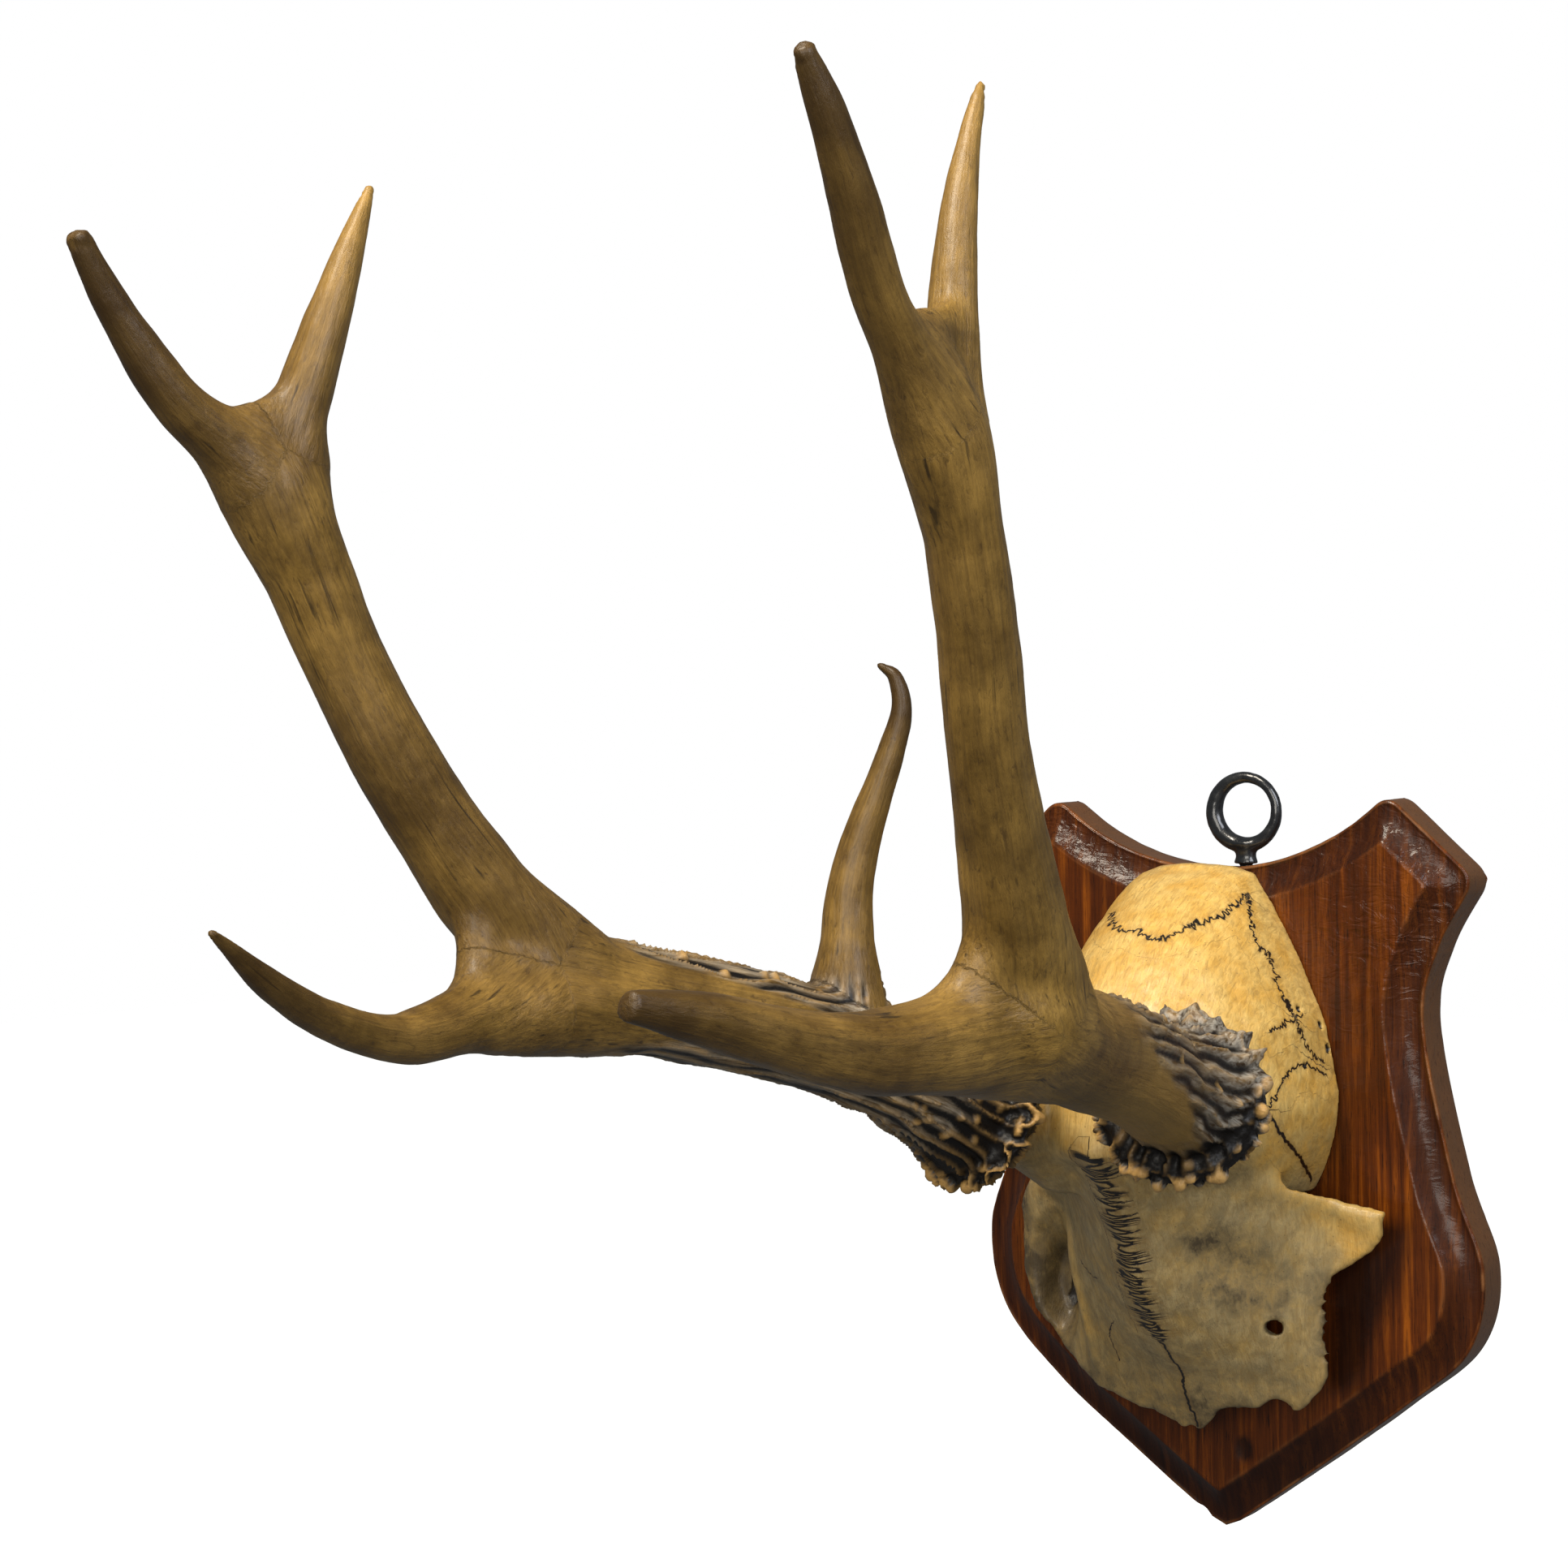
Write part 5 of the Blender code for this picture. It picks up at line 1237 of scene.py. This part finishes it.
    def plate(self) -> Shell:
        """Cut the frontal plate from a grid by its ragged outline, its round hole left open."""
        step = 0.8
        xs, zs = np.arange(-80.0, 80.0, step), np.arange(22.0, -100.0, -step)
        gx, gz = np.meshgrid(xs, zs)
        front = self.face_depth(gx, gz)
        back = front + self.plate_thick
        cx, cz = gx[:-1, :-1] + 0.5 * step, gz[:-1, :-1] - 0.5 * step
        flat = np.stack([cx.ravel(), np.zeros(cx.size), cz.ravel()], axis=1)
        ragged = ((layers(flat / 4.2, 3, 61) - 0.5) * 2.2).reshape(cx.shape)
        teeth = 2.2 * (2.0 * np.abs((cz / 3.6) % 1.0 - 0.5)) * ((cz < -33.0) & (cz > -66.0) & (cx > 40.0))
        keep = inside_outline(cx + ragged * 0.5 + teeth, cz + ragged * 0.7, np.array(self.OUTLINE))
        hole_x, hole_z, hole_r = self.foramen
        keep &= (cx - hole_x) ** 2 + (cz - hole_z) ** 2 > hole_r ** 2
        points, faces = sheet_from_mask(xs * MM, zs * MM, front * MM, back * MM, keep)
        return points, faces

    def pedicle(self, side: Side) -> Shell:
        """Carry a round profile from inside the skull to the burr."""
        antler = Antler(side)
        antler.lay_out()
        low = antler.limbs["low"].path
        axis = unit(low[1] - low[0])
        foot, waist = low[0] - axis * 40.0 * MM, low[0] - axis * 16.0 * MM
        return Limb(np.array([foot, waist, low[0]]), np.array([18.1, 14.5, 15.2]) * MM).shell()

    def seam_places(self, points: Array, normals: Array) -> tuple[Array, Array, Array]:
        """Give each point its place along and across the nearest seam.

        The place across is signed by the side of the line that the point lies on, so the
        finish can draw a wavering line of any fineness from it.

        Args:
            points: Points on the skin.
            normals: Their normals.

        Returns:
            Run, offset and sway in millimetres, the zigzag's height and the line's half width
            measured across the seam.
        """
        best = np.full(len(points), 9.0)
        place = np.zeros((len(points), 3))
        half = np.full(len(points), 0.3)
        zigzag = np.zeros(len(points))
        start = 0.0
        mirrored = [(np.array(line) * [-1.0, 1.0, 1.0], *rest) for line, *rest in
                    (self.SEAMS[k] for k in (1, 2, 3, 4))]
        for line, sway, zig_top, zig_end, width in [*self.SEAMS, *mirrored]:
            laid = respace(spline(np.array(line), 12), 160) * MM
            laid = respace(points[nearest(laid, points)[0]], 60)
            laid = respace(spline(laid, 6), 700)
            along = unit(np.gradient(laid, axis=0))
            index, _ = nearest(points, laid)
            away = points - laid[index]
            across = np.cross(normals, along[index])
            offset = (away * across).sum(1) / MM
            beyond = np.abs((away * along[index]).sum(1)) / MM
            gap = np.linalg.norm(away, axis=1) / MM
            closer = gap < best
            best = np.where(closer, gap, best)
            reach = np.sign(offset) * np.maximum(np.abs(offset), beyond * 3.0)
            run = run_length(laid)[index] / MM + start
            place[closer] = np.stack([run, reach, np.full(len(run), sway)], 1)[closer]
            zig = zig_top + (zig_end - zig_top) * index / 699.0
            zigzag[closer] = zig[closer]
            half[closer] = width
            start += 300.0
        place[best >= 9.0, 1] = 9.0
        return place, zigzag, half

    def build(self, finish: bpy.types.Material) -> bpy.types.Object:
        """Join the skull's shells into one skin, sink its pits, mark its seams and dress it."""
        shells = [self.braincase(), self.plate(), self.pedicle(Side.RIGHT), self.pedicle(Side.LEFT)]
        skin = one_skin(shells, self.voxel, 4)
        points, _ = read_mesh(skin)
        x, y, z = (points / MM).T
        crease = smooth_step(26.0, 8.0, np.abs(z - 6.0)) * smooth_step(-30.0, -40.0, y)
        relax(skin, 0.5 * crease, 30)
        points, normals = read_mesh(skin)
        place, zigzag, half = self.seam_places(points, normals)
        # The hole attribute marks where the finish paints the holes' shade.
        hole = np.full(len(points), 3.0)
        for px, py, pz, radius in self.PITS:
            centre = points[nearest(np.array([[px, py, pz]]) * MM, points)[0][0]]
            hole = np.minimum(hole, np.linalg.norm(points - centre, axis=1) / MM / radius)
        x, y, z = (points / MM).T
        hole_x, hole_z, hole_r = self.foramen
        hole = np.minimum(hole, np.hypot(x - hole_x, z - hole_z) / hole_r)
        torn = 1.0 + 1.2 * (layers(points / MM / 4.0, 2, 119) - 0.5)
        hole = np.minimum(hole, np.hypot((x + 56.0 - 0.2 * (z + 54.0)) / 2.8, (z + 54.0) / 8.0) * torn)
        swell = 1.3 * (layers(points / MM / 20.0, 2, 121) - 0.5) + 0.5 * (layers(points / MM / 5.0, 2, 127)
                                                                          - 0.5)
        points += normals * ((swell - 1.8 * smooth_step(1.0, 0.6, hole)) * MM)[:, None]
        skin.vertices.foreach_set("co", points.ravel())
        skin.update()
        line = respace(spline(np.array(self.GREY), 10), 60) * MM
        grey = np.exp(-(nearest(points, line)[1] / MM / 9.0) ** 2)
        # Painted shade in the left orbit pit.
        pit = np.exp(-(((x + 61.0) / 11.5) ** 2 + ((z + 53.0) / 22.0) ** 2) ** 2)
        rim = smooth_step(-66.0, -74.0, x) * 0.5
        edges = smooth_step(-55.0, -98.0, z) * 0.35 + smooth_step(46.0, 52.0, x) * smooth_step(-30.0, -40.0,
                                                                                               z) * 0.3
        # Painted shade on faces turned to the board that stand off it.
        shade_behind = smooth_step(-0.05, 0.5, normals[:, 1]) * smooth_step(-26.0, -30.0, y) * 0.9
        # Darker below the burrs' height.
        brow = 0.25 * smooth_step(30.0, 8.0, z)
        # Dirt and painted shade in one attribute: the painted shade above, and darker colour along the grey
        # streak, at the plate's edges and below the burrs' height.
        dirt = np.clip(0.4 * grey + 0.5 * pit + rim + edges + shade_behind + brow, 0.0, 1.5)
        crown = smooth_step(-14.0, 26.0, z + 0.22 * (y + 60.0))
        crown = np.maximum(crown, 0.95 * smooth_step(40.0, 54.0, x + 0.5 * (z + 10.0)))
        # Painted highlight: the crown's pale colour laid along the ridge beside the left orbit, as if lit.
        ridge = np.exp(-((x + 42.0 + 0.14 * (z + 45.0)) / 4.0) ** 2) * smooth_step(-84.0, -64.0, z)
        crown = np.maximum(crown, 0.55 * ridge * smooth_step(-10.0, -30.0, z))
        put_attribute(skin, "seam", place)
        put_attribute(skin, "seam_zigzag", zigzag)
        put_attribute(skin, "seam_half", half)
        put_attribute(skin, "hole", hole)
        put_attribute(skin, "dirt", dirt)
        put_attribute(skin, "pit", pit)
        put_attribute(skin, "crown", crown)
        return show("skull_cap", skin, finish, "bone_and_antler", "skull_with_antlers")


# Board and ring

@dataclass
class ShieldBoard:
    """The shield: outline, squared edge, hollowed border and flat field."""

    half_width: float = 101.5
    tip_z: float = -140.0
    dip_z: float = 108.6
    horn_top: tuple[float, float] = (68.0, 136.0)
    horn_side: tuple[float, float] = (100.5, 105.4)
    waist: tuple[float, float] = (80.7, 53.0)
    belly_z: float = -34.0
    flank_x: float = 70.0
    flank_z: tuple[float, float] = (-85.5, -92.0)
    corner_cut: float = 7.0
    edge_depth: float = 16.0
    edge_flare: float = 0.3
    border_width: float = 13.2
    border_rise: float = 5.5
    cove_sag: float = 1.6
    steps: tuple[int, int, int] = (70, 36, 190)

    def lines(self, flank_z: float) -> list[Array]:
        """Give the three lines of one half: dip, cut corner and side, from the top down."""
        rise = self.horn_top[1] - self.dip_z
        radius = (self.horn_top[0] ** 2 + rise ** 2) / (2.0 * rise)
        across = np.linspace(0.0, self.horn_top[0], 400)
        dip = np.stack([across, self.dip_z + radius - np.sqrt(radius ** 2 - across ** 2)], axis=1)
        cut = np.array([self.horn_top, self.horn_side])
        corner, waist = np.array(self.horn_side), np.array(self.waist)
        belly, flank = np.array([self.half_width, self.belly_z]), np.array([self.flank_x, flank_z])
        tip = np.array([0.0, self.tip_z])
        low = 0.5 * (flank + tip) - np.array([0.0, 0.01 * self.flank_x])
        shares = [np.array(pair) for pair in ((0.72, 0.48), (0.5, 0.62), (0.20, 0.55))]
        side = spline(np.array([corner, corner + shares[0] * (waist - corner), waist,
                                waist + shares[1] * (belly - waist), belly, belly + shares[2]
                                * (flank - belly),
                                flank, low, tip]), 40)
        return [dip, cut, side]

    @staticmethod
    def pushed(line: Array, distance: float) -> Array:
        """Move a polyline sideways, outwards for a positive distance."""
        along = unit(np.gradient(line, axis=0))
        return line + distance * np.stack([-along[:, 1], along[:, 0]], axis=1)

    @staticmethod
    def crossing(first: Array, second: Array) -> tuple[int, int, Array]:
        """Find where one line's segments meet the next line's, or where both meet when run on straight."""
        p, r = first[:-1, None, :], np.diff(first, axis=0)[:, None, :]
        q, s = second[None, :-1, :], np.diff(second, axis=0)[None, :, :]
        area = r[..., 0] * s[..., 1] - r[..., 1] * s[..., 0]
        area = np.where(np.abs(area) < 1e-9, np.nan, area)
        d = q - p
        t = (d[..., 0] * s[..., 1] - d[..., 1] * s[..., 0]) / area
        u = (d[..., 0] * r[..., 1] - d[..., 1] * r[..., 0]) / area
        found = np.argwhere((t >= 0.0) & (t <= 1.0) & (u >= 0.0) & (u <= 1.0))
        if len(found):
            i, j = found[-1]
            return int(i), int(j), first[i] + t[i, j] * (first[i + 1] - first[i])
        i = len(first) - 1
        a, b, c, e = first[-1], first[-1] - first[-2], second[0], second[1] - second[0]
        t_end = ((c - a)[0] * e[1] - (c - a)[1] * e[0]) / (b[0] * e[1] - b[1] * e[0])
        return i, -1, a + t_end * b

    def half(self, flank_z: float, offset: float, cut: float) -> Array:
        """Give one half of the outline pushed out by an offset, its corners rounded by a quadratic bend."""
        lines = [self.pushed(line, offset) for line in self.lines(flank_z)]
        lines[0][:, 0] = np.maximum(lines[0][:, 0], 0.0)
        joined = []
        start = lines[0]
        for following in lines[1:]:
            i, j, meet = self.crossing(start, following)
            joined.append(np.vstack([start[:i + 1], meet]))
            start = np.vstack([meet, following[j + 1:]])
        slope = start[-1] - start[-2]
        tip = start[-1] - slope * start[-1][0] / slope[0]
        joined.append(np.vstack([start[start[:, 0] > 1e-6], tip]))
        pieces = []
        for index, (line, count) in enumerate(zip(joined, self.steps)):
            fine = respace(line, 1600)
            trim = int(round(1600 * cut / run_length(fine)[-1]))
            piece = respace(fine[(trim if index else 0):1600 - trim], count)
            if pieces:
                t = np.linspace(0.0, 1.0, 14)[1:-1, None]
                pieces.append((1 - t) ** 2 * pieces[-1][-1] + 2 * t * (1 - t) * line[0] + t * t * piece[0])
            pieces.append(piece)
        whole = np.vstack(pieces)
        whole[0, 0] = 0.0
        return whole

    def ring(self, offset: float, depth: float, cut: float) -> Array:
        """Give the whole outline as points in millimetres at one depth, the tip rounded."""
        right, left = (self.half(z, offset, cut) for z in self.flank_z)
        low = 0.5 * (right[-1] + left[-1] * np.array([-1.0, 1.0]))
        low[1] -= 0.35 * cut
        ring = np.vstack([right, low[None, :], left[1:][::-1] * np.array([-1.0, 1.0])])
        return np.column_stack([ring[:, 0], np.full(len(ring), -depth), ring[:, 1]])

    def build(self, finish: bpy.types.Material) -> bpy.types.Object:
        """Carry the board's profile round its outline, wear it and dress it.

        Rows run from the back's middle out to the edge, over the rounded arris, down the hollowed
        border and in across the field: offset o(s), depth d(s), corner size c(s).
        """
        width, deep, rise = self.border_width, self.edge_depth, self.border_rise
        rows = [(-1.0, 0.0, 0.2), (0.0, 0.0, 1.0), (0.1, 0.2, 1.0), (0.25, 0.8, 1.0)]
        rows += [(self.edge_flare * (1.0 - t), 0.8 + (deep - 1.7) * t, 1.0) for t in np.linspace(0.0, 1.0,
                                                                                                 12)[1:]]
        rows += [(-0.15, deep - 0.35, 1.0), (-0.55, deep, 1.0), (-1.1, deep + 0.15, 0.95)]
        for t in np.linspace(0.1, 1.0, 12):
            sag = self.cove_sag * 4.0 * t * (1.0 - t)
            lip = 0.5 * math.exp(-((t - 0.97) / 0.05) ** 2)
            rows.append((-width * t, deep + rise * t - sag + lip * 0.4, 1.0 - 0.8 * t))
        rows += [(-width - 0.8, deep + rise + 0.05, 0.2), (-width - 1.8, deep + rise, 0.2)]
        rings = np.array([self.ring(o, d, self.corner_cut * c) for o, d, c in rows])
        inner = rings[-1]
        centre = np.array([0.0, -(deep + rise), -5.0])
        shares = np.linspace(0.0, 1.0, 46)[1:-1, None, None]
        field_rings = inner[None] + shares * (centre - inner)[None]
        back_centre = np.array([0.0, 0.0, -5.0])
        back = back_centre + np.linspace(0.05, 0.95, 10)[:, None, None] * (rings[0] - back_centre)[None]
        grid = np.concatenate([back, rings, field_rings])
        points, faces = closed_rings(grid * MM)
        mesh = make_mesh("shield_board_carved", points, faces)
        points, normals = read_mesh(mesh)
        if float((normals[:, 1] * np.sign(points[:, 1] + 0.008)).sum()) < 0.0:
            mesh.flip_normals()
            points, normals = read_mesh(mesh)
        x, y, z = (points / MM).T
        count = grid.shape[1]
        row = np.minimum(np.arange(len(points)) // count, len(grid) - 1)
        first_side, arris = len(back) + 2, len(back) + 4 + 11
        on_side = ((row >= first_side) & (row < arris)).astype(float)
        at_arris = np.exp(-((row - (arris + 1.0)) / 1.1) ** 2)
        border = ((row > arris + 1) & (row < len(back) + len(rings) - 3)).astype(float)
        lip_highlight = np.exp(-((row - (len(back) + len(rings) - 3.0)) / 0.8) ** 2)
        hand = 0.55 * (layers(points / MM / 26.0, 2, 131)
                       - 0.5) + 0.25 * (layers(points / MM / 5.0, 2, 137) - 0.5)
        front = (normals[:, 1] < 0.3).astype(float)
        wrinkle = (np.exp(-(((x - 62.0) / 30.0) ** 2 + ((z - 88.0) / 26.0) ** 2))
                   + border * smooth_step(-25.0, -62.0, x) * smooth_step(95.0, 112.0, z)
                   + 0.25 * border * smooth_step(60.0, 100.0, z))
        creased = wrinkle * 0.5 * (layers(points / MM / np.array([7.0, 7.0, 4.0]), 3, 139) - 0.5)
        nick = np.exp(-(((x + 9.5) / 2.2) ** 2 + ((z + 134.5) / 2.0) ** 2)) * 1.2
        spot = np.exp(-(((x - 10.5) / 3.2) ** 2 + ((z + 107.0) / 4.6) ** 2) ** 2)
        points += normals * ((front * (hand + creased) - nick - 1.1 * spot * (y < -20.0)) * MM)[:, None]
        mesh.vertices.foreach_set("co", points.ravel())
        mesh.update()
        worn_noise = smooth_step(0.42, 0.72, layers(points / MM / 9.0, 3, 149))
        put_attribute(mesh, "edge", on_side * 0.85)
        # Worn attribute: rubbed varnish along the outer arris, and a painted highlight line along the lip at
        # the field's edge.
        put_attribute(mesh, "worn",
                      np.clip((0.55 * at_arris + 0.15 * lip_highlight) * (0.05 + worn_noise), 0.0, 0.55))
        # Painted shadow: the board behind the frontal plate's right side, darkened as if the plate shaded it.
        shade_behind = smooth_step(44.0, 50.0, x) * smooth_step(76.0, 62.0, x - 0.35 * (z + 40.0))
        shade_behind = shade_behind * smooth_step(-12.0, -24.0, z) * smooth_step(-88.0, -74.0, z) * (y < -15.0)
        # Shade attribute: the painted shadow behind the plate, the border darkened more towards the bottom,
        # and the dark round dab.
        shade = 0.6 * border + 1.6 * spot * (y < -20.0) + 0.35 * smooth_step(-60.0, -120.0,
                                                                             z) * border + 1.3 * shade_behind
        put_attribute(mesh, "shade", np.clip(shade, 0.0, 1.0))
        put_attribute(mesh, "wrinkle", np.clip(wrinkle, 0.0, 1.0) + 0.12)
        return show("shield_board_carved", mesh, finish, "varnished_wood", "shield_board")


@dataclass
class HangingRing:
    """The hanging ring: a hoop thicker at the lower right, its neck and its hidden shank."""

    centre: tuple[float, float] = (8.5, -8.0)
    mean_radius: float = 12.7
    thin: float = 1.9
    thick: float = 3.4
    neck_radius: float = 4.6
    neck_height: float = 7.0
    shank_radius: float = 2.4
    shank_length: float = 20.0
    seat: float = 110.1

    def build(self, finish: bpy.types.Material) -> bpy.types.Object:
        """Sweep a round section whose radius swells with sin(a + 0.9), and join it to the neck."""
        ring_z = self.seat + self.neck_height + self.mean_radius
        around = np.linspace(0.0, 2.0 * math.pi, 160, endpoint=False)
        turn = np.linspace(0.0, 2.0 * math.pi, 40, endpoint=False)
        radius = (self.thin + (self.thick - self.thin) * (0.5 - 0.5 * np.sin(around + 0.9)))[:, None]
        reach = self.mean_radius + radius * np.cos(turn)[None, :]
        hoop = np.stack([self.centre[0] + reach * np.cos(around)[:, None],
                         self.centre[1] + radius * np.sin(turn)[None, :] * np.ones_like(reach),
                         ring_z + reach * np.sin(around)[:, None]], -1)
        faces = grid_faces(161, 40, True) % (160 * 40)
        shells = [(hoop.reshape(-1, 3) * MM, [tuple(f) for f in faces.tolist()])]
        top = ring_z - self.mean_radius + 0.4 * self.thick
        stations = [(self.shank_radius, self.seat - self.shank_length), (self.shank_radius, self.seat - 0.05)]
        stations += [(self.neck_radius * w, self.seat + h * (top - self.seat))
                     for w, h in ((1.0, 0.0), (0.98, 0.08), (0.86, 0.3), (0.9, 0.55), (1.05, 0.8),
                                  (1.2, 1.0))]
        rings = np.array([np.column_stack([self.centre[0] + r * np.cos(turn), self.centre[1] + 0.8 * r
                                           * np.sin(turn),
                                           np.full(40, z)]) for r, z in stations])
        shells.append(closed_rings(rings * MM))
        skin = one_skin(shells, 0.4 * MM, 5)
        points, _ = read_mesh(skin)
        relax(skin, 0.5 * smooth_step(7.0 * MM, 3.0 * MM, np.abs(points[:, 2] - top * MM)), 25)
        points, normals = read_mesh(skin)
        visible = points[:, 2] > (self.seat + 0.5) * MM
        points += normals * (visible * 0.25 * MM * (layers(points / MM / 3.0, 2, 151) - 0.5))[:, None]
        skin.vertices.foreach_set("co", points.ravel())
        skin.update()
        return show("hanging_ring", skin, finish, "blackened_iron", "hanging_eye")


# Studio

@dataclass
class Studio:
    """Pale floor, soft lights and the camera at the photograph's angle."""

    camera_mm: tuple[float, float, float] = (427.25, -870.92, 142.58)
    azimuth: float = 36.303
    elevation: float = -0.003
    roll: float = -0.870
    lens_mm: float = 57.55
    floor_z: float = -0.55

    def camera(self) -> None:
        """Set the camera by its direction and roll."""
        a, e, r = (math.radians(v) for v in (self.azimuth, self.elevation, self.roll))
        back = np.array([math.sin(a) * math.cos(e), -math.cos(a) * math.cos(e), math.sin(e)])
        right = np.array([math.cos(a), math.sin(a), 0.0])
        up = np.cross(back, right)
        turned = [math.cos(r) * right + math.sin(r) * up, -math.sin(r) * right + math.cos(r) * up, back]
        data = bpy.data.cameras.new("camera")
        data.lens = self.lens_mm
        data.sensor_width = 36.0
        data.clip_start, data.clip_end = 0.01, 50.0
        made = bpy.data.objects.new("camera", data)
        made.matrix_world = Matrix.Translation([v * MM for v in self.camera_mm]) @ Matrix(
            np.array(turned).T.tolist()).to_4x4()
        bpy.context.scene.collection.objects.link(made)
        bpy.context.scene.camera = made

    def light(self, name: str, azimuth: float, elevation: float, distance: float, size: float, power: float,
              tint: str) -> None:
        """Add a soft square light that looks at the plaque.

        Args:
            name: Its name.
            azimuth: Its place round the plaque in degrees, 0 in front and 90 to the right.
            elevation: Its height above the plaque in degrees.
            distance: Its distance.
            size: Its side.
            power: Its power in watts.
            tint: Its colour.
        """
        a, e = math.radians(azimuth), math.radians(elevation)
        back = np.array([math.sin(a) * math.cos(e), -math.cos(a) * math.cos(e), math.sin(e)])
        data = bpy.data.lights.new(name, "AREA")
        data.shape = "SQUARE"
        data.size = size
        data.energy = power
        data.color = colour(tint)[:3]
        made = bpy.data.objects.new(name, data)
        right = np.cross([0.0, 0.0, 1.0], back)
        right = right / np.linalg.norm(right)
        up = np.cross(back, right)
        aim = Matrix(np.array([right, up, back]).T.tolist())
        plaque_middle = np.array([0.0, -0.15, 0.08])
        made.matrix_world = Matrix.Translation((back * distance + plaque_middle).tolist()) @ aim.to_4x4()
        bpy.context.scene.collection.objects.link(made)

    def build(self) -> None:
        """Make the floor, the even white surroundings, three soft lights and the camera."""
        size = 6.0
        floor = make_mesh("floor", np.array([(-size, -size, self.floor_z), (size, -size, self.floor_z),
                                             (size, size, self.floor_z), (-size, size, self.floor_z)]),
                          [(0, 1, 2, 3)])
        floor.materials.append(MattPaper().build())
        ground = bpy.data.objects.new("floor", floor)
        ground.visible_diffuse = False
        ground.visible_glossy = False
        bpy.context.scene.collection.objects.link(ground)
        world = bpy.data.worlds.new("studio")
        world.use_nodes = True
        bpy.context.scene.world = world
        tree = world.node_tree
        shown = tree.nodes["Background"]
        shown.inputs["Color"].default_value = (1.0, 1.0, 1.0, 1.0)
        shown.inputs["Strength"].default_value = 1.0
        lit = add(tree, "ShaderNodeBackground", {}, {"Color": (0.94, 0.97, 1.0, 1.0), "Strength": 0.16})
        seen = add(tree, "ShaderNodeLightPath").outputs["Is Camera Ray"]
        both = add(tree, "ShaderNodeMixShader", {}, {0: seen, 1: lit.outputs[0], 2: shown.outputs[0]})
        tree.links.new(both.outputs[0], tree.nodes["World Output"].inputs["Surface"])
        self.light("key", -6.0, 58.0, 1.5, 0.5, 25.0, "#FFF4E2")
        self.light("front", 16.0, 14.0, 2.0, 1.0, 22.0, "#FFFAF0")
        self.light("fill", 70.0, 32.0, 1.7, 0.9, 20.0, "#F2F6FF")
        bpy.context.scene.view_settings.view_transform = "Standard"
        self.camera()


def main() -> None:
    """Build the plaque piece by piece in its studio."""
    logging.basicConfig(level=logging.INFO, format="%(message)s", force=True)
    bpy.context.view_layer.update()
    Studio().build()
    bone = AgedAntler().build()
    ShieldBoard().build(VarnishedWood().build())
    SkullCap().build(OldBone().build())
    for side in Side:
        Antler(side).build(bone)
    HangingRing().build(BlackEnamelledIron().build())


if __name__ == "__main__":
    main()
